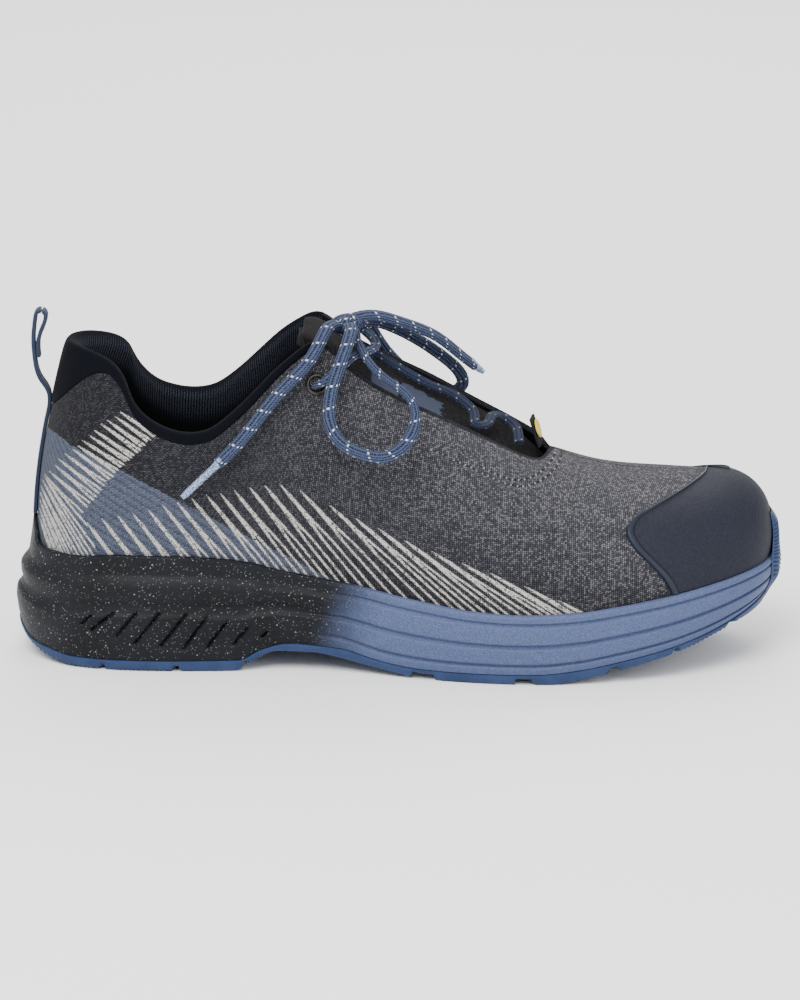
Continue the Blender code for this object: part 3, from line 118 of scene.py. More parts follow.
lipLine = {
    "x": (-43.2, -20.0, 0.0, 21.0, 35.0, 49.0, 60.0, 80.0, 90.0, 103.0, 118.0, 134.0, 150.0, 161.0, 176.0,
          192.0, 210.0, 233.0, 253.0, 258.0),
    "z": (43.4, 43.5, 45.2, 45.2, 44.7, 42.9, 39.8, 35.9, 34.4, 31.8, 29.4, 27.4, 26.6, 26.7, 27.4, 29.2,
          31.5, 34.9, 37.7, 38.2),
}
heelClip = {"along": (0.0, 5.0, 10.0, 14.0, 19.0, 30.0), "rise": (10.0, 8.8, 5.4, 1.6, 0.0, 0.0)}
footBed = {
    "x": (-43.2, 0.0, 40.0, 80.0, 110.0, 150.0, 180.0, 210.0, 235.0, 258.0),
    "z": (28.0, 27.0, 26.0, 21.5, 17.0, 15.5, 17.5, 22.0, 25.5, 28.0),
}
sideRows = (
    # heel share, heel out, forefoot share, forefoot out, clip share
    (0.00, -1.6, 0.00, -0.9, 0.0),
    (0.10, -0.9, 0.11, -0.3, 0.0),
    (0.20, -0.4, 0.15, -1.5, 0.0),
    (0.30, 0.0, 0.20, -0.2, 0.0),
    (0.40, -0.2, 0.42, 0.0, 0.0),
    (0.47, -1.6, 0.48, -1.5, 0.0),
    (0.53, -2.2, 0.54, -0.3, 0.0),
    (0.60, -1.4, 0.66, -0.6, 0.0),
    (0.70, -1.0, 0.80, -1.2, 0.0),
    (0.77, -1.9, 0.85, -2.4, 0.0),
    (0.83, -3.6, 0.89, -1.5, 0.1),
    (0.92, -4.4, 0.95, -1.6, 0.5),
    (1.00, -5.0, 1.00, -2.2, 1.0),
)
topRows = (
    # station, x, y outer, y inner, z outer, z inner
    (-43.2, -22.0, 0.0, 0.0, 122.5, 122.5),
    (-40.0, -20.8, -7.5, 7.5, 122.6, 122.6),
    (-33.0, -16.5, -14.5, 14.5, 122.2, 122.2),
    (-22.0, -9.5, -20.0, 20.0, 120.6, 120.8),
    (-12.0, -3.2, -24.0, 24.0, 117.5, 118.2),
    (-3.0, 1.3, -27.0, 27.0, 111.6, 113.5),
    (6.0, 5.2, -29.5, 28.8, 103.3, 106.3),
    (14.0, 11.0, -31.5, 30.8, 97.6, 99.9),
    (22.0, 18.0, -33.0, 32.3, 94.1, 96.6),
    (31.0, 26.0, -34.0, 33.2, 92.6, 95.2),
    (39.0, 34.0, -34.3, 33.5, 94.1, 96.3),
    (47.0, 41.5, -33.8, 33.2, 99.4, 100.8),
    (55.0, 49.5, -32.6, 32.0, 106.8, 108.0),
    (63.0, 59.0, -29.5, 29.5, 116.5, 118.2),
    (71.0, 68.0, -24.8, 26.4, 124.0, 125.5),
    (78.0, 75.5, -21.6, 24.2, 127.4, 128.6),
    (88.0, 86.0, -20.8, 23.8, 119.6, 121.8),
    (97.0, 96.6, -20.0, 23.8, 110.8, 114.8),
    (108.0, 113.8, -17.6, 23.6, 101.2, 106.6),
    (119.0, 126.5, -15.5, 22.8, 94.8, 100.2),
    (130.0, 138.4, -14.0, 21.4, 88.6, 94.0),
    (141.0, 148.6, -12.0, 19.5, 83.0, 89.0),
    (150.0, 156.3, -9.6, 17.0, 79.0, 85.2),
    (158.0, 162.8, -5.0, 12.5, 77.4, 81.6),
    (165.0, 166.6, 4.0, 4.0, 78.9, 78.9),
    (174.0, 175.0, 5.0, 5.0, 75.6, 75.6),
    (184.0, 184.5, 6.0, 6.0, 72.6, 72.6),
    (195.0, 194.0, 6.6, 6.6, 70.8, 70.8),
    (207.0, 203.0, 6.8, 6.8, 70.0, 70.0),
    (219.0, 211.0, 6.6, 6.6, 69.7, 69.7),
    (232.0, 218.0, 6.0, 6.0, 69.6, 69.6),
    (243.0, 223.0, 5.2, 5.2, 69.6, 69.6),
    (251.0, 226.5, 4.2, 4.2, 69.6, 69.6),
    (255.2, 228.0, 3.5, 3.5, 69.6, 69.6),
)
leanRows = (
    # station, inset, rise, flare, reach, drop
    (-43.2, 8.8, 0.42, 1.2, 8.5, 35.0),
    (-30.0, 8.3, 0.42, 2.0, 9.0, 33.0),
    (-10.0, 7.6, 0.40, 2.6, 6.5, 28.0),
    (12.0, 7.4, 0.36, 3.2, 3.6, 21.0),
    (40.0, 7.2, 0.36, 3.6, 3.4, 22.0),
    (60.0, 6.8, 0.38, 3.8, 7.5, 25.0),
    (78.0, 6.4, 0.40, 3.6, 11.0, 22.0),
    (97.0, 6.0, 0.42, 3.2, 13.5, 14.0),
    (119.0, 5.6, 0.46, 2.8, 19.5, 9.0),
    (141.0, 5.3, 0.50, 2.4, 26.0, 5.0),
    (150.0, 5.2, 0.52, 2.3, 29.0, 3.8),
    (158.0, 5.2, 0.54, 2.2, 33.0, 2.6),
    (165.0, 5.2, 0.55, 2.2, 41.5, 4.0),
    (174.0, 5.2, 0.56, 2.2, 41.5, 1.6),
    (184.0, 5.2, 0.57, 2.3, 41.0, 0.6),
    (195.0, 5.2, 0.58, 2.4, 40.0, 0.2),
    (207.0, 5.2, 0.59, 2.8, 37.5, 0.0),
    (219.0, 5.2, 0.60, 3.4, 33.0, 0.0),
    (240.0, 5.1, 0.62, 5.0, 24.0, 0.0),
    (255.2, 5.0, 0.64, 6.4, 21.0, 0.0),
)


def stepCurve(xs, ys, q):
    # monotone cubic through table rows: y = h00*y0 + h10*t0 + h01*y1 + h11*t1,
    # with tangents the harmonic mean of slopes
    xs, ys = np.asarray(xs, float), np.asarray(ys, float)
    q = np.clip(q, xs[0], xs[-1])
    wide = np.diff(xs)
    slope = np.diff(ys) / wide
    before, after = slope[:-1], slope[1:]
    same = before * after > 0
    total = np.where(same, before + after, 1.0)
    tangent = np.concatenate([slope[:1], np.where(same, 2 * before * after / total, 0.0), slope[-1:]])
    i = np.clip(np.searchsorted(xs, q, side="right") - 1, 0, len(wide) - 1)
    u = (q - xs[i]) / wide[i]
    low = (1 - u) ** 2 * ((1 + 2 * u) * ys[i] + u * wide[i] * tangent[i])
    return low + u * u * ((3 - 2 * u) * ys[i + 1] - (1 - u) * wide[i] * tangent[i + 1])


def heightOn(table, x):
    return stepCurve(table["x"], table["z"], x)


def runLength(points):
    # running length along a line of points
    return np.concatenate([[0], np.cumsum(np.linalg.norm(np.diff(points, axis=0), axis=1))])


def stepGrid(xs, rows, q):
    # stepCurve down every column of a grid at once
    return np.stack([stepCurve(xs, rows[:, k], q) for k in range(rows.shape[1])], 1)


def splineCurve(xs, ys, q):
    # natural cubic spline through rows of any shape: second derivatives from one tridiagonal solve
    xs, ys = np.asarray(xs, float), np.asarray(ys, float)
    n, tail = len(xs), (1,) * (ys.ndim - 1)
    wide = np.diff(xs)
    slope = np.diff(ys, axis=0) / wide.reshape(-1, *tail)
    k = np.arange(1, n - 1)
    matrix, right = np.eye(n), np.zeros(ys.shape)
    matrix[k, k - 1], matrix[k, k + 1], matrix[k, k] = wide[:-1], wide[1:], 2 * (wide[:-1] + wide[1:])
    right[1:-1] = 6 * np.diff(slope, axis=0)
    bend = np.linalg.solve(matrix, right.reshape(n, -1)).reshape(ys.shape)
    i = np.clip(np.searchsorted(xs, q, side="right") - 1, 0, n - 2)
    h, a, b = (np.reshape(v, np.shape(q) + tail) for v in (wide[i], xs[i + 1] - q, q - xs[i]))
    curved = (bend[i] * a**3 + bend[i + 1] * b**3) / (6 * h)
    return curved + (ys[i] / h - bend[i] * h / 6) * a + (ys[i + 1] / h - bend[i + 1] * h / 6) * b


def ramp(q, start, stop):
    # 3u^2 - 2u^3 with u from 0 at start to 1 at stop
    u = np.clip((q - start) / (stop - start), 0, 1)
    return u * u * (3 - 2 * u)


def closedPlan():
    # closed Catmull-Rom curve round the sole, each side as (share, points, length)
    xs = np.array(outline["x"])
    outer = np.column_stack([xs, -np.array(outline["outer"])])
    inner = np.column_stack([xs, np.array(outline["inner"])])[::-1]
    ring = np.vstack([[(shoe["heelBack"], 0.0)], outer, [outline["toeTip"]], inner])
    chord = np.sqrt(np.linalg.norm(np.roll(ring, -1, 0) - ring, axis=1))[:, None]
    p0, p1, p2, p3 = (np.roll(ring, -k, 0) for k in (-1, 0, 1, 2))
    d0, d1, d2 = np.roll(chord, 1, 0), chord, np.roll(chord, -1, 0)
    m1 = ((p1 - p0) / d0 - (p2 - p0) / (d0 + d1) + (p2 - p1) / d1) * d1
    m2 = ((p2 - p1) / d1 - (p3 - p1) / (d1 + d2) + (p3 - p2) / d2) * d1
    u = (np.arange(24) / 24)[None, :, None]
    a = (1 + 2 * u) * (1 - u) ** 2 * p1[:, None] + u * (1 - u) ** 2 * m1[:, None]
    dense = (a + u * u * (3 - 2 * u) * p2[:, None] + u * u * (u - 1) * m2[:, None]).reshape(-1, 2)
    toe = (len(xs) + 1) * 24
    sides = []
    for line in (dense[: toe + 1], np.vstack([dense[toe:], dense[:1]])[::-1]):
        along = runLength(line)
        sides.append((along / along[-1], line, along[-1]))
    return sides


planSides = closedPlan()
halfRound = planSides[0][2]


def fold(s):
    # ring position 0..2 as side and share t from heel 0 to toe 1
    s = np.mod(s, 2.0)
    return s > 1, np.where(s > 1, 2 - s, s)


def plan(s):
    # point of the plan at a ring position
    inner, t = fold(s)
    a, b = [[np.interp(t, share, line[:, k]) for k in (0, 1)] for share, line, length in planSides]
    return np.stack([np.where(inner, b[k], a[k]) for k in (0, 1)], -1)


# steps over which the slopes of plan, top line and skin are measured
planStep, topStep, skinStep = 0.004, 0.002, (0.012, 0.01)


def planNormal(s):
    # outward unit normal of the plan: tangent turned a quarter
    along = plan(s + planStep) - plan(s - planStep)
    along /= np.linalg.norm(along, axis=-1, keepdims=True)
    return np.stack([along[..., 1], -along[..., 0]], -1)


def stationShare(x):
    # share of the way from heel to toe at which the outer side passes x
    return np.interp(x, planSides[0][1][:, 0], planSides[0][0])


frontShare, facingShare = stationShare(shoe["throatFront"]), stationShare(shoe["facingTop"])


def tableCurve(rows, column, t, odd=False):
    # spline over a table's column, with three rows mirrored past heel and toe
    share = stationShare(np.array([r[0] for r in rows]))
    share[0], share[-1] = 0.0, 1.0
    values = [r[column] for r in rows]
    sign = -1 if odd else 1
    low = [sign * v for v in values[3:0:-1]]
    high = [2 * values[-1] * odd + sign * v for v in values[-2:-5:-1]]
    knots = np.concatenate([-share[3:0:-1], share, 2 - share[-2:-5:-1]])
    return splineCurve(knots, low + values + high, t)


def lipHeight(s):
    # height of the cup's lip, and how far the heel clip stands above it
    clip = stepCurve(heelClip["along"], heelClip["rise"], fold(s)[1] * halfRound)
    return heightOn(lipLine, plan(s)[..., 0]), clip


def topPoint(s):
    # top of the upper: collar crest, throat edge, then the ridge of the vamp
    inner, t = fold(s)
    x = tableCurve(topRows, 1, t)
    yLow, yHigh = tableCurve(topRows, 2, t, True), tableCurve(topRows, 3, t, True)
    zLow, zHigh = tableCurve(topRows, 4, t), tableCurve(topRows, 5, t)
    ridge = t >= frontShare - 1e-9
    yMid, zMid = (yLow + yHigh) / 2, (zLow + zHigh) / 2
    y = np.where(ridge, yMid, np.where(inner, yHigh, yLow))
    return np.stack([x, y, np.where(ridge, zMid, np.where(inner, zHigh, zLow))], -1)


def featherPoint(s):
    # where the upper meets the foot bed: the plan moved inwards by inset
    t = fold(s)[1]
    xy = plan(s) - tableCurve(leanRows, 1, t)[..., None] * planNormal(s)
    z = heightOn(footBed, xy[..., 0]) + shoe["gap"]
    return np.concatenate([xy, z[..., None]], -1)


def skin(s, w):
    # outer face of the upper: cubic Bezier v^3 A + 3v^2w B + 3vw^2 C + w^3 D from feather line A to top D
    s, w = np.asarray(s, float), np.asarray(w, float)
    inner, t = fold(s)
    low, top = featherPoint(s), topPoint(s)
    rise, flare, reach, drop = (tableCurve(leanRows, k, t) for k in (2, 3, 4, 5))
    normal = planNormal(s)
    outerAt = np.where(inner, t, s)
    span = np.linalg.norm((low - top)[..., :2], axis=-1)
    outerSpan = np.linalg.norm((featherPoint(outerAt) - topPoint(outerAt))[..., :2], axis=-1)
    share = np.clip(span / np.maximum(outerSpan, 1.0), 0.55, 1.3)
    reach = reach * np.where(inner, 1 + (share - 1) * ramp(outerSpan, 3.0, 18.0), 1.0)
    lean = np.clip(span / 14.0, 0, 1)[..., None]
    away = (low - top)[..., :2] / np.maximum(span, 1e-6)[..., None] * lean + normal * (1 - lean)
    away /= np.linalg.norm(away, axis=-1, keepdims=True)
    first, last = low.copy(), top.copy()
    first[..., :2] += flare[..., None] * normal
    first[..., 2] += rise * (top - low)[..., 2]
    slope = topPoint(s + topStep) - topPoint(s - topStep)
    grade = slope[..., 2] / np.where(np.abs(slope[..., 0]) < 1e-4, 1e9, slope[..., 0])
    last[..., :2] += reach[..., None] * away
    onRidge = ramp(t, frontShare - 0.02, frontShare + 0.02)
    last[..., 2] += onRidge * np.clip(grade, -0.6, 0.6) * reach * away[..., 0] - drop
    w = w[..., None]
    v = 1 - w
    return v**3 * low + 3 * v * v * w * first + 3 * v * w * w * last + w**3 * top


def skinNormal(s, w):
    # cross product of the skin's two central differences, turned up near the ridge
    s, w = np.broadcast_arrays(np.asarray(s, float), np.clip(np.asarray(w, float), 0.01, 0.985))
    ds, dw = skinStep
    normal = np.cross(skin(s + ds, w) - skin(s - ds, w), skin(s, w + dw) - skin(s, w - dw))
    normal /= np.maximum(np.linalg.norm(normal, axis=-1, keepdims=True), 1e-9)
    t = fold(s)[1]
    vamp = ramp(t, frontShare, stationShare(shoe["throatFront"] + 8))
    near = (ramp(w, 0.90, 0.985) * vamp)[..., None]
    normal = normal * (1 - near) + np.array([0.06, 0.0, 1.0]) * near
    return normal / np.linalg.norm(normal, axis=-1, keepdims=True)


def off(s, w, d):
    # skin moved out along its normal by d
    return skin(s, w) + skinNormal(s, w) * np.asarray(d, float)[..., None]


def shareAt(s, z):
    # share of each section at which it first reaches a height, all columns searched at once
    s, z = np.broadcast_arrays(np.asarray(s, float), np.asarray(z, float))
    rows = np.linspace(0, 1, 121)
    flat, want = s.ravel(), z.ravel()
    heights = np.maximum.accumulate(skin(flat[:, None], rows[None, :])[..., 2] + rows * 1e-6, axis=1)
    k = np.clip((heights < want[:, None]).sum(1), 1, len(rows) - 1)
    i = np.arange(len(flat))
    part = np.clip((want - heights[i, k - 1]) / np.maximum(heights[i, k] - heights[i, k - 1], 1e-9), 0, 1)
    return ((k - 1 + part) / (len(rows) - 1)).reshape(s.shape)


def bandShare(s):
    # lower edge of the collar band, deeper at the heel where the smooth patch is
    t = fold(s)[1]
    deep = 1 - ramp(t * halfRound, 8.0, 52.0)
    height = shoe["bandHeight"] + (shoe["patchHeight"] - shoe["bandHeight"]) * deep
    band = shareAt(s, topPoint(s)[..., 2] - height)
    return np.where(t <= facingShare + 1e-9, band, 1.0)


def gridFaces(rows, columns, start):
    # quads between neighbouring rows and columns of a grid
    j, i = np.meshgrid(np.arange(rows - 1), np.arange(columns - 1), indexing="ij")
    a = j * columns + i
    b = a + columns
    return start + np.stack([a, a + 1, b + 1, b], -1).reshape(-1, 4)


def gridLength(grid, axis):
    # running length along rows or columns of a grid
    gaps = np.linalg.norm(np.diff(grid, axis=axis), axis=-1)
    return np.insert(np.cumsum(gaps, axis=axis), 0, 0, axis=axis)


class Heap:
    # several grids gathered into one mesh, with their uv in millimetres and their fields
    def __init__(self):
        self.points, self.faces, self.uv, self.fields, self.count = [], [], [], {}, 0

    def add(self, grid, uv=None, capEnds=False, **fields):
        rows, columns = grid.shape[:2]
        quads = gridFaces(rows, columns, self.count)
        if uv is None:
            uv = np.stack([gridLength(grid, 1), gridLength(grid, 0)], -1)
        self.points.append(grid.reshape(-1, 3))
        self.uv.append(uv.reshape(-1, 2))
        self.faces.append(quads)
        if capEnds:
            for end in (0, columns - 1):
                middle = grid[:, end].mean(0)
                k = np.arange(rows)
                rim = self.count + k * columns + end
                self.points.append(middle[None])
                self.uv.append(uv[:, end].mean(0)[None])
                hub = np.full(rows, self.count + rows * columns + (end > 0))
                pair = (rim, np.roll(rim, -1)) if end == 0 else (np.roll(rim, -1), rim)
                self.faces.append(np.column_stack([hub, pair[1], pair[0], pair[0]]))
        for name, value in fields.items():
            value = np.broadcast_to(value, grid.shape[:2]).reshape(-1)
            if capEnds:
                value = np.concatenate([value, [value[0], value[-1]]])
            self.fields.setdefault(name, []).append(value)
        self.count += rows * columns + (2 if capEnds else 0)
        return self

    def build(self, name, nodes, slot, material, angle=50, flip=None):
        # one object from the grids: joined at their seams, smooth, riding the shoe's one body
        points = np.vstack(self.points) * mm
        quads = np.vstack(self.faces)
        uv = np.vstack(self.uv)
        p = points[quads]
        middle = p.mean(1) - points.mean(0)
        cross = np.cross(p[:, 2] - p[:, 0], p[:, 3] - p[:, 1])
        if flip is None:
            flip = (middle * cross).sum() < 0
        if flip:
            quads = quads[:, ::-1]
        mesh = bpy.data.meshes.new(name)
        keep = np.ones(quads.shape, bool)
        keep[quads[:, 2] == quads[:, 3], 3] = False
        keep[quads[:, 0] == quads[:, 1], 0] = False
        loops = quads[keep]
        total = keep.sum(1)
        mesh.vertices.add(len(points))
        mesh.vertices.foreach_set("co", points.astype(np.float32).ravel())
        mesh.loops.add(len(loops))
        mesh.loops.foreach_set("vertex_index", loops.astype(np.int32))
        mesh.polygons.add(len(quads))
        mesh.polygons.foreach_set("loop_start", np.insert(np.cumsum(total), 0, 0)[:-1].astype(np.int32))
        mesh.polygons.foreach_set("loop_total", total.astype(np.int32))
        layer = mesh.uv_layers.new(name="cloth")
        layer.data.foreach_set("uv", uv[loops].astype(np.float32).ravel())
        for key, values in self.fields.items():
            data = mesh.attributes.new(key, "FLOAT", "POINT")
            data.data.foreach_set("value", np.concatenate(values).astype(np.float32))
        mesh.update(calc_edges=True)
        mesh.validate()
        work = bmesh.new()
        work.from_mesh(mesh)
        bmesh.ops.remove_doubles(work, verts=work.verts, dist=weld)
        work.to_mesh(mesh)
        work.free()
        mesh.polygons.foreach_set("use_smooth", np.ones(len(mesh.polygons), bool))
        mesh.set_sharp_from_angle(angle=math.radians(angle))
        mesh.materials.append(material)
        item = bpy.data.objects.new(name, mesh)
        bpy.context.scene.collection.objects.link(item)
        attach(item, "root")
        if nodes:
            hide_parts(*nodes)
        print(name, len(mesh.polygons), "faces")
        return item


def smoothLine(points, count):
    # natural spline through points by chord length, then evenly spaced along its length
    points = np.array(points, float)
    along = runLength(points)
    fine = np.linspace(0, along[-1], 900)
    dense = np.stack([splineCurve(along, points[:, k], fine) for k in range(points.shape[1])], -1)
    length = runLength(dense)
    at = np.linspace(0, length[-1], count)
    return np.stack([np.interp(at, length, dense[:, k]) for k in range(points.shape[1])], -1)


def tube(line, wide, thick, sides, facing=(0.0, -0.55, 0.83), power=1.0, swell=None):
    # oval section a = side*cos*wide/2 + up*sin*thick/2 carried along a line, uv = (length, turn in mm)
    tangent = np.gradient(line, axis=0)
    tangent /= np.linalg.norm(tangent, axis=1, keepdims=True)
    side = np.cross(tangent, np.array(facing))
    side /= np.linalg.norm(side, axis=1, keepdims=True)
    up = np.cross(side, tangent)
    a = np.linspace(0, circle, sides + 1)[:, None, None]
    ca, sa = np.cos(a), np.sin(a)
    ca, sa = np.sign(ca) * np.abs(ca) ** power, np.sign(sa) * np.abs(sa) ** power
    swell = np.ones(len(line)) if swell is None else swell
    grid = line + (side * ca * wide / 2 + up * sa * thick / 2) * swell[None, :, None]
    along = gridLength(line[None], 1)[0]
    u = np.broadcast_to(along, (sides + 1, len(line)))
    v = np.broadcast_to(np.linspace(0, 1, sides + 1)[:, None] * (wide + thick) * 1.57, u.shape)
    return grid, np.stack([u, v], -1)


class Paint:
    # short hand for a node material; each call adds one node and gives back its output
    def __init__(self, name, **sockets):
        self.material = bpy.data.materials.new(name)
        self.material.use_nodes = True
        self.tree = self.material.node_tree
        self.shader = self.tree.nodes["Principled BSDF"]
        self.set(**{"specular": 0.16, **sockets})

    def set(self, **sockets):
        names = {"colour": "Base Color", "rough": "Roughness", "metal": "Metallic", "coat": "Coat Weight",
                 "coatRough": "Coat Roughness", "sheen": "Sheen Weight", "sheenRough": "Sheen Roughness",
                 "normal": "Normal", "specular": "Specular IOR Level"}
        for key, value in sockets.items():
            self.put(self.shader.inputs[names[key]], value)

    def put(self, socket, value):
        if isinstance(value, bpy.types.NodeSocket):
            self.tree.links.new(value, socket)
        elif isinstance(value, (tuple, list)) and len(socket.default_value) == 4 and len(value) == 3:
            socket.default_value = (*value, 1)
        else:
            socket.default_value = value

    def node(self, kind, inputs=(), out=0, **settings):
        item = self.tree.nodes.new(kind)
        for key, value in settings.items():
            setattr(item, key, value)
        for key, value in dict(inputs).items():
            self.put(item.inputs[key], value)
        return item.outputs[out]

    def field(self, name):
        return self.node("ShaderNodeAttribute", attribute_name=name, out="Fac")

    def cloth(self):
        return self.node("ShaderNodeUVMap", uv_map="cloth")

    def place(self, scale=1000.0):
        at = self.node("ShaderNodeTexCoord", out="Object")
        return self.node("ShaderNodeVectorMath", {0: at, "Scale": scale}, operation="SCALE")

    def calc(self, kind, a, b=0.0, c=0.0):
        return self.node("ShaderNodeMath", {0: a, 1: b, 2: c}, operation=kind)

    def times(self, first, *others):
        for other in others:
            first = self.calc("MULTIPLY", first, other)
        return first

    def plus(self, first, *others):
        for other in others:
            first = self.calc("ADD", first, other)
        return first

    def less(self, a, b):
        return self.calc("SUBTRACT", a, b)

    def wave(self, value, length):
        # sine with a wavelength
        return self.calc("SINE", self.times(value, circle / length))

    def around(self, value, share):
        # share times how far a value lies from a half
        return self.times(self.less(value, 0.5), share)

    def split(self, at):
        item = self.tree.nodes.new("ShaderNodeSeparateXYZ")
        self.tree.links.new(at, item.inputs[0])
        return item.outputs[0], item.outputs[1], item.outputs[2]

    def join(self, x=0.0, y=0.0, z=0.0):
        return self.node("ShaderNodeCombineXYZ", {0: x, 1: y, 2: z})

    def noise(self, at, scale, detail=2.0, rough=0.5):
        inputs = {"Vector": at, "Scale": scale, "Detail": detail, "Roughness": rough}
        return self.node("ShaderNodeTexNoise", inputs, out="Fac")

    def speck(self, at):
        return self.node("ShaderNodeTexWhiteNoise", {"Vector": at}, out="Value")

    def cells(self, at, scale, out):
        return self.node("ShaderNodeTexVoronoi", {"Vector": at, "Scale": scale}, out=out)

    def smooth(self, value, start, stop, low=0.0, high=1.0):
        inputs = {0: value, 1: start, 2: stop, 3: low, 4: high}
        return self.node("ShaderNodeMapRange", inputs, interpolation_type="SMOOTHSTEP")

    def mix(self, share, a, b):
        item = self.tree.nodes.new("ShaderNodeMix")
        item.data_type = "RGBA"
        item.clamp_factor = True
        self.put(item.inputs[0], share)
        self.put(item.inputs[6], a)
        self.put(item.inputs[7], b)
        return item.outputs[2]

    def bump(self, height, strength=0.5, distance=0.0003):
        return self.node("ShaderNodeBump", {"Height": height, "Strength": strength, "Distance": distance})


def knitCells(p, wide, tall, vee=0.9):
    # stitches on the cloth's uv: rows bent into a V by v' = v/tall + vee*|a|,
    # with a random number and a dome 1 - 2.4*(leg^2 + b^2) for each leg
    u, v = p.split(p.cloth())[:2]
    across = p.calc("DIVIDE", u, wide)
    column = p.calc("FLOOR", across)
    a = p.less(p.calc("FRACT", across), 0.5)
    side = p.calc("ABSOLUTE", a)
    up = p.plus(p.calc("DIVIDE", v, tall), p.times(side, vee))
    row = p.calc("FLOOR", up)
    b = p.less(p.calc("FRACT", up), 0.5)
    leg = p.times(p.less(side, 0.25), 2.0)
    round = p.plus(p.times(leg, leg), p.times(b, b))
    dome = p.less(1.0, p.times(round, 2.4))
    half = p.plus(p.times(column, 2.0), p.calc("GREATER_THAN", a, 0.0))
    return p.speck(p.join(half, row, 3.0)), dome, column, row


lace = {
    "wide": 5.0, "thick": 3.2, "colour": (0.046, 0.062, 0.120), "dark": (0.0045, 0.0065, 0.0160),
    "light": (0.085, 0.105, 0.175),
    "fleck": (0.55, 0.58, 0.62), "fleckEvery": 8.6, "knot": (86.5, -4.0, 129.8), "tip": 2.8,
    "tipLongOuter": 19.0, "tipLongInner": 6.0, "flatUp": (0.0, -0.55, 0.83), "flatInner": (0.0, 0.83, 0.55),
}
laceOuterEnd = (
    (84.0, -8.0, 130.4), (80.4, -15.4, 131.6), (74.3, -27.6, 123.4), (60.6, -36.2, 109.4),
    (45.0, -40.0, 90.6),
    (38.0, -41.2, 83.8),
)
laceOuterLoop = (
    (87.4, -8.0, 130.0), (88.6, -16.5, 130.8), (84.6, -31.4, 120.6), (80.6, -36.6, 107.2),
    (80.8, -39.2, 99.1),
    (84.4, -41.6, 92.8), (93.8, -44.2, 88.2), (101.7, -44.6, 87.4), (108.3, -42.6, 90.6),
    (112.2, -39.2, 95.6),
    (113.4, -35.0, 101.6), (111.0, -30.8, 107.2), (105.0, -28.0, 111.8), (97.8, -25.2, 117.2),
    (93.0, -19.6, 122.8),
    (90.6, -12.6, 126.6), (88.0, -6.0, 129.0),
)
laceInnerEnd = (
    (87.4, -2.5, 131.2), (95.0, 1.0, 132.2), (107.5, 7.6, 128.2), (121.4, 16.0, 120.6),
    (131.6, 24.0, 110.8),
    (136.6, 28.6, 105.8),
)
laceInnerLoop = (
    (88.6, -3.4, 129.2), (95.0, 4.6, 129.0), (103.0, 13.4, 125.4), (115.6, 22.0, 117.0),
    (125.4, 28.0, 108.6),
    (131.0, 33.0, 101.8), (132.0, 37.4, 95.6), (127.6, 40.2, 92.0), (119.6, 39.6, 93.8),
    (109.0, 36.4, 102.2),
    (100.0, 32.4, 113.4), (95.0, 25.6, 123.4), (91.4, 14.0, 128.6), (87.6, 3.0, 129.8),
)
laceBar = (
    (74.9, -28.4, 111.6), (77.8, -30.8, 113.2), (83.6, -27.6, 117.4), (89.5, -20.0, 121.0),
    (96.0, -6.0, 120.0), (98.0, 5.0, 120.2),
    (95.0, 16.0, 121.5), (88.5, 27.4, 122.0), (82.5, 32.6, 117.6), (78.0, 33.6, 113.8),
)
laceRows = (
    # station, side share from outer to inner edge, lift over the throat's edges
    (92.0, 0.56, 4.4), (98.0, 0.66, 4.0), (106.0, 0.58, 4.0), (113.0, 0.54, 4.2), (120.0, 0.58, 4.4),
    (125.0, 0.50, 4.4),
    (128.0, 0.32, 4.2), (129.0, 0.15, 3.6), (131.6, 0.20, 4.0), (134.6, 0.50, 4.6), (139.0, 0.68, 4.2),
    (143.6, 0.68, 4.0),
    (146.6, 0.46, 4.4), (147.2, 0.20, 3.8),
)


def lacePaint(name, shade):
    # flat braid: lengthwise ribs and fine diagonals on the cord's uv, slanted rows of small white flecks, then
    # mixed by shade towards the dark tone as painted shade
    p = Paint(name, rough=0.82, sheen=0.03, specular=0.10)
    u, v = p.split(p.cloth())[:2]
    rib = p.wave(v, 1.12)
    weave = p.wave(p.plus(u, p.times(v, 0.8)), 1.0)
    height = p.plus(p.times(rib, 0.65), p.times(weave, 0.35))
    tone = p.mix(p.smooth(height, -0.75, 0.45), lace["dark"], lace["colour"])
    tone = p.mix(p.smooth(p.noise(p.cloth(), 1.3, 3, 0.6), 0.45, 0.75, 0.0, 0.6), tone, lace["light"])
    every = lace["fleckEvery"]
    turn = p.calc("DIVIDE", p.plus(u, p.times(v, 0.50)), every)
    near = p.times(p.calc("ABSOLUTE", p.less(p.calc("FRACT", turn), 0.5)), every)
    dots = p.calc("COSINE", p.times(v, circle / 1.55))
    fleck = p.times(p.smooth(near, 0.48, 0.26), p.smooth(dots, 0.25, 0.60))
    # painted shade: shade mixes the whole braid towards its dark tone, for cords that lie in shadow
    tone = p.mix(shade, p.mix(fleck, tone, lace["fleck"]), lace["dark"])
    p.set(colour=tone, normal=p.bump(height, 0.7, 0.0003))
    return p.material


# the second braid is 72 % painted shade, for the crossings that lie in the throat's shadow
braid, braidShade = lacePaint("slateBraid", 0.0), lacePaint("shadedBraid", 0.72)


def makeCord(name, route, nodes, count=170, wide=None, thick=None, facing="flatUp", turned=None,
             paint=braid):
    # turned = (from, to, share): stretch where the flat cord is seen edge on and so looks narrower
    line = smoothLine(route, count)
    grid, uv = tube(line, wide or lace["wide"], thick or lace["thick"], 22, lace[facing], 0.75)
    if turned:
        at = np.linspace(0, 1, count)
        start, stop, slim = turned
        slim = 1 - (1 - slim) * ramp(at, start, start + 0.1) * ramp(1 - at, 1 - stop, 1.03 - stop)
        grid = line + (grid - line) * slim[None, :, None]
    item = Heap().add(grid, uv=uv, capEnds=True).build(name, nodes, "lace", paint)
    return item, line


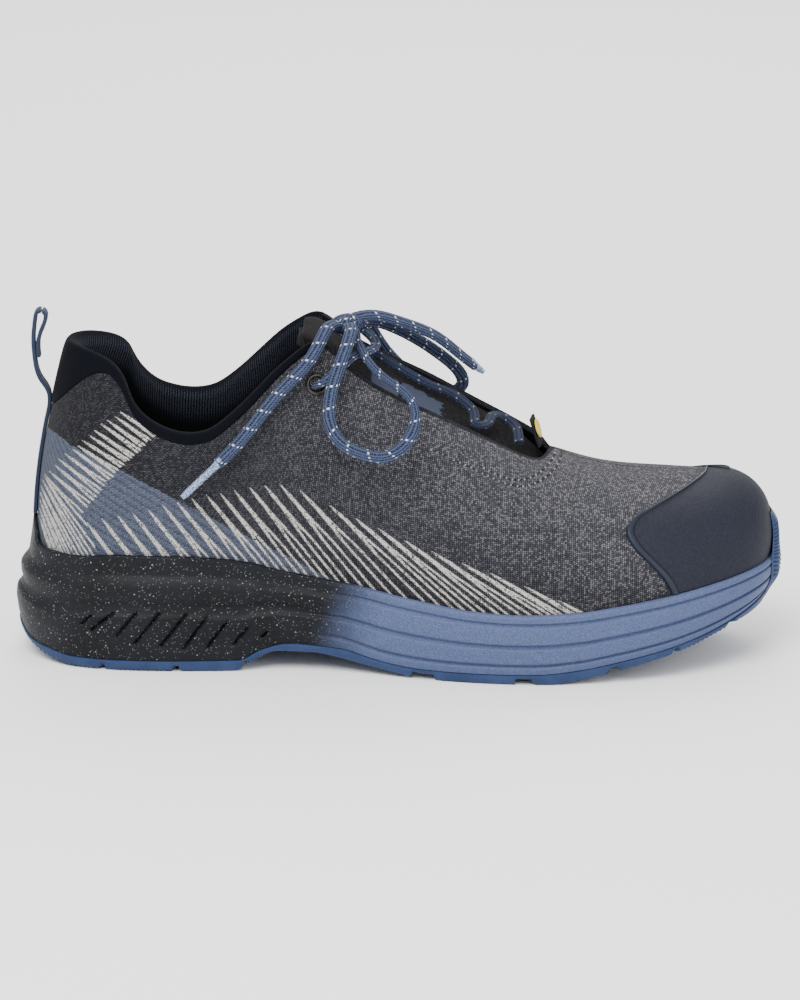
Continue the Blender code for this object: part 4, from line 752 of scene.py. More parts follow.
def makeTip(name, line, length, node):
    # shrunk clear tip: a tube that swells over the cord's end and tapers to its point
    away = line[-1] - line[-4]
    away /= np.linalg.norm(away)
    at = np.linspace(-2.0, length, 26)
    path = line[-1] + away * at[:, None]
    shape = 1 + 0.35 * ramp(-at, -3.0, 1.0) - 0.25 * ramp(at, length - 2.5, length)
    grid, uv = tube(path, lace["tip"], lace["tip"], 16, swell=shape)
    p = Paint("clearTip", rough=0.30, coat=0.5, specular=0.4)
    grain = p.noise(p.cloth(), 1.4, 3, 0.6)
    tone = p.mix(p.smooth(grain, 0.4, 0.62), (0.050, 0.085, 0.170), (0.30, 0.38, 0.52))
    p.set(colour=tone, normal=p.bump(grain, 0.3, 0.0002))
    return Heap().add(grid, uv=uv, capEnds=True).build(name, [node], "lace_tip", p.material)


outerEnd, outerEndLine = makeCord("laceEndOuter", laceOuterEnd, ["lace_end_outer"])
outerTip = makeTip("laceTipOuter", outerEndLine, lace["tipLongOuter"], "lace_tip_outer")
outerLoop, outerLoopLine = makeCord("laceLoopOuter", laceOuterLoop, ["lace_loop_outer"], 240,
                                    turned=(0.60, 0.97, 0.66))
innerEnd, innerEndLine = makeCord("laceEndInner", laceInnerEnd, ["lace_end_inner"])
innerTip = makeTip("laceTipInner", innerEndLine, lace["tipLongInner"], "lace_tip_inner")
innerLoop, innerLoopLine = makeCord("laceLoopInner", laceInnerLoop, ["lace_loop_inner"], 240,
                                    facing="flatInner")
makeCord("laceTopBar", laceBar, ["lace_top_bar"], 160, lace["wide"] * 0.8, 2.2)
print("laces laid")


def crossingRoute():
    # zigzag over the tongue: side share from edge to edge, lifted over the throat's edges
    at = np.array(laceRows)
    t, across = stationShare(at[:, 0]), at[:, 1][:, None]
    deep = -(shoe["wall"] + shoe["gap"] + 0.3)
    outer, inner = off(t, np.full(len(t), 0.985), deep), off(2 - t, np.full(len(t), 0.985), deep)
    return outer * (1 - across) + inner * across + np.array([0.35, 0.0, 1.0]) * at[:, 2:]


# the crossings wear the braid with painted shade, as they lie in the throat's shadow
makeCord("laceCrossings", crossingRoute(), ["lace_crossings"], 300, lace["wide"] * 0.82, 2.0,
         paint=braidShade)


def knotWrap(turn, lean, reach, lift, radius):
    # closed turn of lace round the knot: centre + reach*cos(a)*across + radius*sin(a)*up
    a = np.linspace(0, circle, 90)
    across = np.array([math.cos(turn), math.sin(turn), lean])
    up = np.array([0.25 * math.sin(turn), -0.25 * math.cos(turn), 1.0])
    centre = np.array(lace["knot"]) + np.array(lift)
    return centre + np.cos(a)[:, None] * reach * across + np.sin(a)[:, None] * radius * up


knotTurns = (
    # turn in the plan, lean, reach across, lift, radius
    (0.15, 0.10, 3.6, (0.4, -1.6, 0.2), 2.7),
    (1.45, -0.10, 5.6, (0.0, 0.0, 0.4), 2.5),
    (-0.75, 0.15, 4.8, (-0.6, 1.4, -0.4), 2.4),
)
knotHeap = Heap()
for turn in knotTurns:
    grid, uv = tube(knotWrap(*turn), lace["wide"] * 0.95, lace["thick"] * 0.85, 18, power=0.8)
    knotHeap.add(grid, uv=uv)
knotHeap.build("laceKnot", ["lace_knot"], "lace", braid)
print("knot tied")

sole = {
    "sideRows": 84, "columns": 1000, "louvreDeep": 1.3, "louvreWide": 0.8, "foreFrom": 55.0,
    "foreTo": 100.0,
    "toeFrom": 205.0, "toeTuck": 2.4, "grooveDeep": 2.0, "slitPitch": 1.75, "serrationPitch": 1.76,
    "serrationDeep": 0.45,
    "night": (0.0020, 0.0025, 0.0036), "nightLight": (0.0050, 0.0060, 0.0082), "speck": (0.27, 0.28, 0.29),
    "blue": (0.045, 0.063, 0.136), "blueLight": (0.092, 0.117, 0.212), "outsole": (0.0160, 0.0300, 0.0800),
    "colourFrom": 78.0, "colourTo": 106.0, "serrated": ((16.0, 20.0), (213.0, 216.0), (238.0, 242.0)),
    "outsoleLight": (0.0245, 0.0440, 0.1100),
}
louvres = (
    # x top, z top, x low, z low
    (-12.0, 22.0, -17.0, 16.9), (-3.0, 23.4, -13.3, 14.7), (6.3, 24.0, -3.0, 12.8), (15.2, 24.0, 3.9, 9.6),
    (25.8, 23.8, 14.0, 8.8), (33.5, 22.6, 23.0, 7.6), (41.4, 20.8, 32.4, 8.4), (49.4, 18.4, 42.6, 9.6),
    (57.0, 16.4, 53.0, 12.6),
)
lugGrooves = (
    # x, wide
    (-8.0, 2.0), (20.7, 3.0), (47.6, 2.2), (116.5, 9.0), (155.2, 7.0), (189.7, 4.5), (213.7, 2.2),
    (235.6, 2.8),
)


def lineFamily(x, h, rows):
    # for lines from (x0, h0) to (x1, h1): index between neighbouring lines, spacing, way along and way left
    rows = np.array(rows, float)
    start, stop = rows[:, :2], rows[:, 2:4]
    way = stop - start
    length = np.linalg.norm(way, axis=1)
    way /= length[:, None]
    point = np.stack([x, h], -1).reshape(-1, 1, 2)
    gap = point - start[None]
    side = gap[..., 0] * way[:, 1] - gap[..., 1] * way[:, 0]
    along = (gap * way).sum(-1)
    count = len(rows)
    before = side[:, :-1] * side[:, 1:] <= 0
    nearer = np.where(np.abs(side[:, 0]) < np.abs(side[:, -1]), 0, count - 2)
    k = np.where(before.any(1), before.argmax(1), nearer)
    i = np.arange(len(side))
    a, b = side[i, k], side[i, k + 1]
    part = np.clip(a / np.where(np.abs(a - b) < 1e-6, 1e-6, a - b), -0.5, 1.5)
    index = k + part
    pitch = np.abs(a - b)
    way1 = along[i, k] * (1 - part) + along[i, k + 1] * part
    left = (length[k] - along[i, k]) * (1 - part) + (length[k + 1] - along[i, k + 1]) * part
    return [v.reshape(np.shape(x)) for v in (index, pitch, way1, left)]


centreBend = {"x": (-20.0, 60.0, 110.0, 180.0, 220.0), "z": (0.0, -2.0, -4.0, -2.0, 2.0), "heel": 26,
              "toe": 64}


def centreLine(s):
    # middle line of the sole for each ring position, kept off heel and toe
    x = shoe["heelBack"] + centreBend["heel"]
    x = x + (outline["toeTip"][0] - centreBend["toe"] - shoe["heelBack"]) * fold(s)[1]
    return x, np.column_stack([x, heightOn(centreBend, x)])


def soleSide(s, u):
    # side of the midsole at a share u of its height, before louvres: plan + out*normal, up to the lip
    s, u = np.broadcast_arrays(s, u)
    base, normal = plan(s), planNormal(s)
    x = base[..., 0]
    parting = heightOn(partingLine, x)
    lip, clip = lipHeight(s)
    fore, toe = ramp(x, sole["foreFrom"], sole["foreTo"]), ramp(x, sole["toeFrom"], outline["toeTip"][0])
    at = np.linspace(0, 1, len(sideRows))
    heel, heelOut, front, frontOut, clipShare = [stepCurve(at, column, u) for column in zip(*sideRows)]
    share = heel * (1 - fore) + front * fore
    out = heelOut * (1 - fore) + frontOut * fore - toe * sole["toeTuck"] * (1 - share) ** 1.5
    z = parting + share * (lip - parting) + clipShare * clip + shoe["gap"] / 2 * (1 - share)
    return base, normal, x, out, share, z


def solePiece():
    # midsole: middle, side rows less louvres and facets, lip rolled in along a sine, cup wall, foot bed
    s = np.linspace(0, 2, sole["columns"])
    lipShare = shareAt(s, sum(lipHeight(s)))
    clip = lipHeight(s)[1]
    edge = off(s, lipShare, shoe["gap"] + shoe["lip"])
    thin = off(s, lipShare, shoe["gap"] + shoe["lip"] * 0.55)
    tip = np.clip(clip / 8.0, 0, 1)[:, None]
    edge[:, :2] = edge[:, :2] * (1 - tip) + thin[:, :2] * tip
    u = np.linspace(0, 1, sole["sideRows"])[:, None]
    base, normal, x, out, share, z = soleSide(s[None], u)
    fore = ramp(x[-1], sole["foreFrom"], sole["foreTo"])
    topOut = sideRows[-1][1] * (1 - fore) + sideRows[-1][3] * fore
    miss = edge[:, :2] - (base[0] + topOut[:, None] * normal[0])
    index, pitch, along, left = lineFamily(x, z, louvres)
    slit = np.abs(index - np.round(index)) * pitch
    last = len(louvres) - 1
    inside = ramp(along, -0.5, 1.5) * ramp(left, -0.5, 1.5)
    inside = inside * ramp(index, -0.6, 0.0) * ramp(-index, -last - 0.6, -last)
    cut = (1 - ramp(slit, 0.25, sole["louvreWide"])) * sole["louvreDeep"]
    facet = (index - np.floor(index)) * 0.9 * ramp(along, 1.0, 6.0) * ramp(left, 0.0, 3.0)
    facet = facet * ramp(index, -0.2, 0.8) * ramp(-index, -last - 0.2, -last + 1.0)
    zone = ramp(z, 7.0, 9.5)
    out = out - inside * cut * zone - facet * zone * (1 - ramp(x, 44.0, 60.0))
    xy = base + out[..., None] * normal + (share**2)[..., None] * miss
    side = np.concatenate([xy, z[..., None]], -1)
    rim = []
    inward = off(s, lipShare, shoe["gap"])
    for k in np.linspace(0.12, 1, 8):
        line = side[-1] * (1 - k) + inward * k
        line[:, 2] += 0.35 * math.sin(math.pi * k)
        rim.append(line)
    inner = [off(s, lipShare * k, shoe["gap"]) for k in (0.75, 0.5, 0.25, 0.0)]
    centreX, centre = centreLine(s)
    low = np.column_stack([centre, heightOn(partingLine, centreX)])
    bed = np.column_stack([centre, heightOn(footBed, centreX)])
    rows = np.array([low, *side, *rim, *inner, bed])
    return rows, s


def foamPaint():
    # speckled foam: near black at the heel, periwinkle from the waist on, with fine and large pale specks
    p = Paint("speckledFoam", rough=0.55)
    at = p.place()
    x, y, z = p.split(at)
    drift = p.noise(at, 0.035, 3, 0.5)
    edge = p.plus(x, p.times(z, -0.25), p.times(drift, 18.0))
    share = p.smooth(edge, sole["colourFrom"], sole["colourTo"])
    grain = p.noise(at, 2.4, 2, 0.7)
    night = p.mix(p.smooth(p.noise(at, 0.06, 3), 0.3, 0.75), sole["night"], sole["nightLight"])
    night = p.mix(p.smooth(grain, 0.55, 0.72), night, (0.017, 0.019, 0.023))
    blue = p.mix(p.smooth(grain, 0.38, 0.72), sole["blue"], sole["blueLight"])
    tone = p.mix(share, night, blue)
    for size, wide, often, power in ((1.15, 0.26, 0.52, 0.40), (0.52, 0.17, 0.66, 0.75)):
        dot = p.smooth(p.cells(at, size, "Distance"), wide, wide * 0.6)
        dot = p.times(dot, p.calc("GREATER_THAN", p.speck(p.cells(at, size, "Position")), often))
        tone = p.mix(p.times(dot, p.smooth(edge, 70.0, 112.0, power, power * 0.16)), tone, sole["speck"])
    height = p.plus(grain, p.times(p.noise(at, 0.5, 2), 0.8))
    p.set(colour=tone, normal=p.bump(height, 0.35, 0.0003), rough=p.smooth(grain, 0.3, 0.7, 0.42, 0.60))
    return p.material


grid, soleRing = solePiece()
uv = np.stack([np.broadcast_to(gridLength(grid, 1)[30], grid.shape[:2]), gridLength(grid, 0)], -1)
Heap().add(grid, uv=uv).build("midsoleFoam", ["midsole"], "midsole", foamPaint(), angle=60)


def treadPiece():
    # outsole: bottom with lug notches and serrated edges, a shoulder, the parting line, and the top
    s = soleRing
    base, normal, x, out, share, z = soleSide(s, np.zeros(len(s)))
    low = base + out[:, None] * normal
    edgeTop = low + normal * 0.4
    edgeLow = edgeTop - normal * 1.2
    centreX, centre = centreLine(s)

    def bottom(xy, teeth):
        z = heightOn(bottomLine, xy[:, 0])
        at = xy[:, 0]
        for place, wide in lugGrooves:
            z = z + sole["grooveDeep"] * (1 - ramp(np.abs(at - place), wide / 2 - 0.3, wide / 2 + 0.3))
        saw = np.abs(((at / sole["serrationPitch"]) % 1.0) - 0.5) * 2
        heelStop, toeStart, toeStop = [ramp(at, *ends) for ends in sole["serrated"]]
        zone = (1 - heelStop) + toeStart * (1 - toeStop)
        return np.column_stack([xy, z + teeth * zone * sole["serrationDeep"] * ramp(saw, 0.3, 0.7)])

    rows = [bottom(centre * (1 - k) + edgeLow * k, float(k > 0.85)) for k in (0.0, 0.25, 0.5, 0.7, 0.86,
                                                                              1.0)]
    lowRow, high = rows[-1], np.column_stack([edgeTop, z - shoe["gap"]])
    for k in (0.25, 0.5, 0.75):
        line = lowRow * (1 - k) + high * k
        line[:, :2] = edgeLow + (edgeTop - edgeLow) * math.sin(k * math.pi / 2)
        rows.append(line)
    seam = np.column_stack([low - normal * 0.3, z - shoe["gap"] * 0.6])
    rows += [high, seam, np.column_stack([centre, heightOn(partingLine, centreX) - 0.3])]
    return np.array(rows)


bumperRows = (
    # share of the foam's side, out from the plan, height over the lip on the cap, offset from the upper
    (-0.30, -1.70, 0.0, 0.0), (-0.16, -0.90, 0.0, 0.0), (0.00, -0.30, 0.0, 0.0), (0.50, 0.20, 0.0, 0.0),
    (0.80, -0.80, 0.0, 0.0), (1.00, -1.80, 0.0, 0.0), (1.00, 0.0, 3.2, 2.3), (1.00, 0.0, 8.5, 1.9),
    (1.00, 0.0, 15.8, 1.75),
)


def bumperPiece():
    # bumper round the toe tip: hugs tread, foam, lip and cap, lens shaped, with fine diagonal grooves darkened by
    # painted shade
    half = shoe["bumperHalf"] / halfRound
    across = np.linspace(-1, 1, 160)
    fine = np.linspace(0, 1, 240)
    keys = []
    for k, (share, out, over, lift) in enumerate(bumperRows):
        narrow = 1 - (1 - shoe["bumperTopShare"]) * ramp(k / (len(bumperRows) - 1), 0.55, 1.0)
        s = 1 + across * half * narrow
        lip, normal, base = lipHeight(s)[0], planNormal(s), plan(s)
        if over:
            keys.append(off(s, shareAt(s, lip + over), np.full(len(s), lift)))
            continue
        parting = heightOn(partingLine, base[:, 0])
        toe = ramp(base[:, 0], sole["toeFrom"], outline["toeTip"][0])
        miss = off(s, shareAt(s, lip), shoe["gap"] + shoe["lip"])[:, :2] - (base + sideRows[-1][3] * normal)
        tuck = toe * sole["toeTuck"] * (1 - max(share, 0)) ** 1.5
        xy = base + (out - tuck)[:, None] * normal + max(share, 0) ** 2 * miss
        keys.append(np.column_stack([xy, parting + share * (lip - parting)]))
    keys = np.array(keys)
    middle = gridLength(keys, 0)[:, len(across) // 2]
    inner = np.stack([stepGrid(middle / middle[-1], keys[..., k], fine) for k in range(3)], -1)
    normal = planNormal(1 + across * half * 0.8)
    side = ramp(1 - np.abs(across), 0.0, 0.34)[None, :]
    high = (ramp(1 - fine, 0.0, 0.16) * ramp(fine, 0.0, 0.30))[:, None]
    lean = gridLength(inner, 1)
    lean = 0.34 * np.abs(lean - lean[:, 80:81]) - gridLength(inner, 0)
    rib = np.abs(((lean / sole["slitPitch"]) % 1.0) - 0.5) * 2
    zone = ramp(1 - np.abs(across), 0.03, 0.12)[None, :] * ramp(fine, 0.26, 0.32)[:, None]
    zone = zone * ramp(1 - fine, 0.10, 0.16)[:, None]
    thick = shoe["bumper"] * (side * high) ** 0.6 - 0.40 * zone * (1 - ramp(rib, 0.10, 0.42))
    outer = inner.copy()
    outer[..., :2] += normal[None] * thick[..., None]
    # painted shade in the grooves, handed to the paint as a field
    groove = zone * (1 - ramp(rib, 0.08, 0.34))
    shade = np.concatenate([groove[:1] * 0, groove, groove * 0])
    return np.concatenate([inner[:1], outer, inner[::-1]]), shade


def rubberPaint():
    # blue rubber: even colour with faint dust, a fine moulded grain and painted shade in the bumper's grooves
    p = Paint("blueRubber", rough=0.52)
    at = p.place()
    tone = p.mix(p.smooth(p.noise(at, 0.08, 4), 0.3, 0.7), sole["outsole"], sole["outsoleLight"])
    grain = p.noise(at, 2.2, 2, 0.6)
    tone = p.mix(p.smooth(grain, 0.5, 0.8, 0.0, 0.3), tone, (0.050, 0.082, 0.160))
    # painted shade: near black in the bumper's grooves
    tone = p.mix(p.times(p.field("groove"), 0.85), tone, (0.004, 0.006, 0.014))
    p.set(colour=tone, normal=p.bump(grain, 0.25, 0.0002))
    return p.material


tread = Heap().add(treadPiece(), groove=0.0)
bumperGrid, bumperShade = bumperPiece()
tread.add(bumperGrid, groove=bumperShade)
tread.build("outsoleRubber", ["outsole"], "outsole", rubberPaint(), angle=45)
print("sole made")

# rest of the upper: knit shell, cap, collar, tongue, foot bed, eyelets, loop and tab
knit = {
    "columns": 900, "rows": 84, "backRows": 24, "stitch": (1.66, 0.78), "char": (0.0016, 0.0018, 0.0032),
    "grey": (0.062, 0.062, 0.074),
    "warm": (0.260, 0.250, 0.243),
    "slate": (0.031, 0.038, 0.060), "slateLight": (0.074, 0.085, 0.118), "cream": (0.56, 0.545, 0.50),
    "lining": (0.0030, 0.0032, 0.0050),
}
heelTicks = (
    # x start, height start, x end, height end, in the side view
    (0.0, 90.3, 13.7, 80.9), (-2.3, 88.8, 10.9, 79.4), (-5.1, 87.2, 9.0, 77.0), (-7.8, 86.0, 7.4, 75.1),
    (-10.2, 83.3, 4.7, 73.1), (-12.1, 81.3, 2.7, 71.6), (-14.9, 79.4, 0.8, 69.6), (-16.8, 77.4, -1.6, 67.6),
    (-18.8, 76.2, -3.5, 64.9), (-21.9, 74.3, -5.9, 62.6), (-24.6, 72.3, -8.2, 59.8),
    (-26.2, 70.0, -10.2, 57.1),
    (-28.5, 67.6, -12.5, 54.7), (-30.9, 66.5, -15.6, 50.8), (-30.7, 65.9, -9.1, 33.6),
    (-31.5, 64.3, -13.1, 33.6),
    (-32.3, 61.9, -17.1, 33.6), (-32.7, 59.4, -20.3, 33.6), (-32.8, 56.3, -23.1, 34.4),
    (-33.1, 53.2, -25.4, 34.8),
    (-33.1, 50.0, -27.5, 35.2),
)
sideStrokes = (
    # x start, height start, run over drop
    (-13.3, 47.7, 0.74), (-7.4, 49.3, 0.75), (-1.2, 50.4, 0.76), (4.7, 51.2, 0.77), (10.9, 52.4, 0.78),
    (16.4, 54.3, 0.79), (21.9, 55.5, 0.80), (27.4, 57.1, 0.80), (33.2, 58.3, 0.80), (38.7, 58.7, 0.80),
    (43.8, 60.2, 0.80), (49.7, 61.4, 0.80), (55.5, 62.2, 0.80), (61.4, 62.6, 0.84), (69.2, 60.2, 0.92),
    (80.9, 54.3, 1.04), (90.7, 49.3, 1.13), (99.3, 45.7, 1.20), (109.9, 40.7, 1.32), (120.0, 36.8, 1.45),
    (132.5, 31.7, 1.62), (142.7, 28.2, 1.64), (156.4, 23.1, 1.66), (169.3, 17.6, 1.68),
)
slateTop = {"x": (-60.0, -27.8, -18.8, 0.8, 24.2, 56.7, 88.0, 130.0),
            "h": (100.0, 83.7, 77.4, 67.3, 55.1, 38.3, 22.7, 2.0)}


def sideHeight(points):
    # height in the side view, as the eye sees it 15 degrees down; the inner side mirrors the outer
    return points[..., 2] * math.cos(elevation) - np.abs(points[..., 1]) * math.sin(elevation)


seamLines = (
    # double seam round the front of the throat: x and height in the side view
    ((170.9, 77.8), (170.9, 75.9), (168.1, 69.6), (162.7, 64.5), (155.6, 61.8), (145.5, 63.7),
     (136.5, 68.0), (119.3, 75.9)),
    ((168.6, 77.8), (168.0, 75.0), (165.4, 70.6), (160.8, 66.6), (154.6, 64.2), (146.4, 65.6),
     (138.0, 69.6)),
)


def seamFields(points):
    # distance to the nearest seam line and the way along it, and distance to the throat's edge
    flat = np.stack([points[..., 0], sideHeight(points)], -1).reshape(-1, 2)
    best, along = np.full(len(flat), 99.0), np.zeros(len(flat))
    seamFrom, seamTo = 112, 176
    for line in seamLines:
        dense = smoothLine(line, 160)
        run = gridLength(dense[None], 1)[0]
        near = np.flatnonzero((flat[:, 0] > seamFrom) & (flat[:, 0] < seamTo))
        gap = np.linalg.norm(flat[near, None] - dense[None], axis=-1)
        k = gap.argmin(1)
        closer = gap[np.arange(len(near)), k] < best[near]
        best[near[closer]] = gap[np.arange(len(near)), k][closer]
        along[near[closer]] = run[k[closer]]
    t = np.linspace(facingShare, frontShare, 90)
    edge = skin(np.concatenate([t, 2 - t]), np.ones(2 * len(t)))
    solid = points.reshape(-1, 3)
    near = np.flatnonzero((solid[:, 0] > 60) & (solid[:, 0] < 176) & (solid[:, 2] > 60))
    throat = np.full(len(solid), 99.0)
    throat[near] = np.linalg.norm(solid[near, None] - edge[None], axis=-1).min(1)
    shape = points.shape[:2]
    fields = {"seamWay": best, "seamAlong": along, "throatWay": throat}
    return {name: value.reshape(shape) for name, value in fields.items()}


def strokeFields(points):
    # smooth fields from which the paint draws the strokes: index, spacing, way along, way left
    x, h = points[..., 0], sideHeight(points)
    ticks = lineFamily(x, h, heelTicks)
    drop = 60.0  # strokes run down past the lip
    strokes = lineFamily(x, h, [(a, b, a + k * drop, b - drop) for a, b, k in sideStrokes])
    fields = {}
    for name, values in (("tick", ticks), ("stroke", strokes)):
        for part, value in zip(("Index", "Pitch", "Along", "Left"), values):
            fields[name + part] = value
    fields["slateDepth"] = stepCurve(slateTop["x"], slateTop["h"], x) - h
    return fields


def strokeMask(p, name, half, thin, forkFrom, forkTo, last, jag, gaps):
    # distance to the nearest stroke, tapered at its start, forking into thin frayed lines further down
    index, pitch = p.field(name + "Index"), p.field(name + "Pitch")
    along, left = p.field(name + "Along"), p.field(name + "Left")
    near = p.calc("ABSOLUTE", p.less(index, p.calc("ROUND", index)))
    near = p.times(near, pitch)
    fork = p.smooth(along, forkFrom, forkTo)
    split = p.times(fork, pitch, 0.23)
    near = p.calc("ABSOLUTE", p.less(near, split))
    wide = p.plus(half, p.times(fork, thin - half))
    wide = p.times(wide, p.smooth(along, -0.5, 6.0, 0.30, 1.0))
    mask = p.smooth(p.less(wide, p.plus(near, jag)), -0.08, 0.12)
    for way in (along, left):
        mask = p.times(mask, p.smooth(p.plus(way, p.times(jag, 2.0)), -0.2, 0.1))
    first, final = p.smooth(index, -0.45, -0.40), p.smooth(index, last + 0.40, last + 0.45, 1.0, 0.0)
    return p.times(mask, first, final, gaps)


def knitPaint():
    # heathered knit in V stitches, painted light towards the toe and top, a slate field at the heel, frayed cream
    # strokes, dark lining
    p = Paint("charcoalKnit", rough=0.9, sheen=0.03, specular=0.10)
    x, y, z = p.split(p.place())
    random, dome, column, row = knitCells(p, *knit["stitch"])
    fine = p.noise(p.cloth(), 2.6, 2, 0.7)
    cloudy = p.noise(p.cloth(), 0.22, 3, 0.6)
    dot = p.smooth(dome, 0.20, 0.85)
    light = p.plus(p.times(random, 0.75), p.times(p.plus(fine, cloudy), 0.40))
    light = p.times(light, p.plus(0.10, p.times(dot, 1.05)))
    # painted light: front makes the knit and its warm specks lighter towards the toe and the top; dim makes it
    # darker towards the heel and the sole
    front = p.smooth(p.plus(x, p.times(z, 1.3)), 140.0, 330.0, 0.0, 1.0)
    dim = p.times(p.smooth(x, -40.0, 70.0, 0.35, 1.0), p.smooth(z, 28.0, 62.0, 0.62, 1.0))
    light = p.times(light, dim, p.plus(0.62, p.times(front, 0.95)))
    base = p.mix(light, knit["char"], knit["grey"])
    bright = p.plus(0.055, p.times(front, dim, 0.50))
    spark = p.times(p.smooth(random, 0.55, 0.95), dot, bright)
    base = p.mix(spark, base, knit["warm"])
    twill = p.calc("SINE", p.times(p.plus(column, row), 2.09))
    thread = p.plus(p.times(random, 0.5), p.times(twill, 0.30))
    thread = p.smooth(p.plus(thread, p.times(dome, 0.35)), -0.1, 0.9)
    slate = p.mix(thread, knit["slate"], knit["slateLight"])
    jag = p.around(random, 0.50)
    jag = p.plus(jag, p.around(fine, 1.3))
    zone = p.smooth(p.plus(p.field("slateDepth"), jag), -0.15, 0.15)
    base = p.mix(zone, base, slate)
    gaps = p.smooth(p.plus(p.times(random, 0.5), fine), 0.46, 0.72)
    ticks = strokeMask(p, "tick", 0.66, 0.44, 7.0, 19.0, len(heelTicks) - 1, jag, gaps)
    strokes = strokeMask(p, "stroke", 0.72, 0.46, 9.0, 30.0, len(sideStrokes) - 1, jag, gaps)
    cream = p.times(p.smooth(fine, 0.25, 0.62), p.smooth(dome, -0.1, 0.6, 0.35, 1.0))
    cream = p.mix(cream, (0.20, 0.20, 0.19), knit["cream"])
    tone = p.mix(p.calc("MAXIMUM", ticks, strokes), base, cream)
    tone = p.mix(p.smooth(dome, 0.15, 0.70, 0.35, 0.0), tone, (0.003, 0.003, 0.004))
    sewn = p.smooth(p.field("seamWay"), 0.55, 0.25)
    pitch = p.wave(p.field("seamAlong"), 2.4)
    tone = p.mix(p.times(sewn, 0.75), tone, (0.004, 0.004, 0.006))
    tone = p.mix(p.times(sewn, p.smooth(pitch, 0.55, 0.85)), tone, (0.20, 0.20, 0.21))
    tone = p.mix(p.smooth(p.field("throatWay"), 2.3, 1.7, 0.0, 0.88), tone, (0.0035, 0.0038, 0.0060))
    tone = p.mix(p.field("lining"), tone, p.mix(p.smooth(fine, 0.4, 0.7), knit["lining"],
                                                (0.012, 0.013, 0.019)))
    height = p.plus(dome, p.times(fine, 0.7))
    p.set(colour=tone, normal=p.bump(height, 0.6, 0.00035))
    return p.material


def knitShell():
    # outer face from feather line to band or throat edge, a rolled edge, then the back face 2 mm inside
    s = np.linspace(0, 2, knit["columns"])
    band = bandShare(s)[None]
    u = np.linspace(0, 1, knit["rows"])[:, None]
    face = off(s[None], band * u, np.zeros((knit["rows"], 1)))
    backAt = np.linspace(1, 0, knit["backRows"])[:, None]
    back = off(s[None], band * backAt, np.full((knit["backRows"], 1), -shoe["wall"]))
    inner, t = fold(s)
    ridge = t >= frontShare - 1e-9
    for row in (face[-1], back[0]):
        other = row[::-1]
        row[ridge] = ((row + other) / 2)[ridge]
    grid = np.concatenate([face, back])
    lateral = gridLength(face, 1)
    heart = np.argmin(np.abs(s - 0.5))
    mirror = np.argmin(np.abs(s - 1.5))
    u0 = np.where(inner[None], -(lateral - lateral[:, mirror:mirror + 1]),
                  lateral - lateral[:, heart:heart + 1])
    uv = np.stack([u0, gridLength(face, 0)], -1)
    tall = gridLength(np.concatenate([face[-1:], back]), 0)[1:]
    uv = np.concatenate([uv, np.stack([np.broadcast_to(u0[-1:], tall.shape), uv[-1:, :, 1] + tall], -1)])
    lining = np.broadcast_to((np.arange(len(grid)) >= knit["rows"])[:, None] * 1.0, grid.shape[:2])
    return grid, uv, lining


grid, uv, lining = knitShell()
upper = Heap().add(grid, uv=uv, lining=lining, **strokeFields(grid), **seamFields(grid))
upper.build("knitUpper", ["upper"], "upper", knitPaint(), angle=70)
print("upper knitted")

cap = {"rimFade": (2.9, 3.6), "seam": ((2.5, 2.9), (3.7, 3.3)), "rimWide": 2.9,
       "thick": 1.2, "rim": 0.55, "innerForward": 11.0, "innerRise": (56.0, 64.0),
       "rimColour": (0.0135, 0.0165, 0.0300),
       "colour": (0.0046, 0.0056, 0.0118), "light": (0.0155, 0.0180, 0.0325)}
capEdge = {
    "z": (28.0, 33.0, 38.5, 44.5, 51.0, 55.5, 59.0, 62.0, 65.0, 67.0, 69.0, 71.0),
    "x": (213.0, 211.5, 208.5, 203.0, 196.5, 194.2, 196.5, 204.0, 213.5, 220.0, 226.0, 229.0),
}


def capStart(ring, low, h):
    # ring position at which each row of the upper crosses the rear edge of the cap, by interpolation
    w = low[None] + (1 - low[None]) * h[:, None]
    line = skin(ring[None], w)
    forward = cap["innerForward"] * ramp(line[..., 2], *cap["innerRise"]) * fold(ring)[0][None]
    ahead = line[..., 0] - stepCurve(capEdge["z"], capEdge["x"], line[..., 2]) - forward
    k = np.argmax(ahead > 0, axis=1)
    i = np.arange(len(h))
    part = -ahead[i, k - 1] / (ahead[i, k] - ahead[i, k - 1])
    return ring[k - 1] + part * (ring[k] - ring[k - 1])


def toeCapPiece():
    # cap overlay: columns run from the outer rear edge round the toe to the inner one, rims raised
    fine = np.linspace(0.55, 1.0, 181)
    low = [shareAt(r, sum(lipHeight(r)) + 0.6) for r in (fine, 2 - fine)]
    h = np.linspace(0, 1, 70)
    a, b = capStart(fine, low[0], h), capStart(2 - fine, low[1], h)
    ringAt = a[:, None] + (b - a)[:, None] * np.linspace(0, 1, 420)[None]
    lowGrid = np.stack([shareAt(r, sum(lipHeight(r)) + 0.6) for r in ringAt])
    w = lowGrid + (1 - lowGrid) * h[:, None]
    edge = np.minimum(ringAt - a[:, None], b[:, None] - ringAt) * halfRound
    rim = ramp(edge, 0.0, 0.8) * (1 - ramp(edge, cap["rimWide"] - 0.8, cap["rimWide"] + 0.6))
    lift = shoe["gap"] * 0.5 + cap["thick"] * ramp(edge, -0.4, 0.5) + cap["rim"] * rim
    lift[:, 0] = lift[:, -1] = shoe["gap"] * 0.3
    face = off(ringAt, w, lift)
    face[-1] = (face[-1] + face[-1][::-1]) / 2
    uv = np.stack([gridLength(face, 1) - gridLength(face, 1)[:, 210:211], gridLength(face, 0)], -1)
    return face, uv, edge


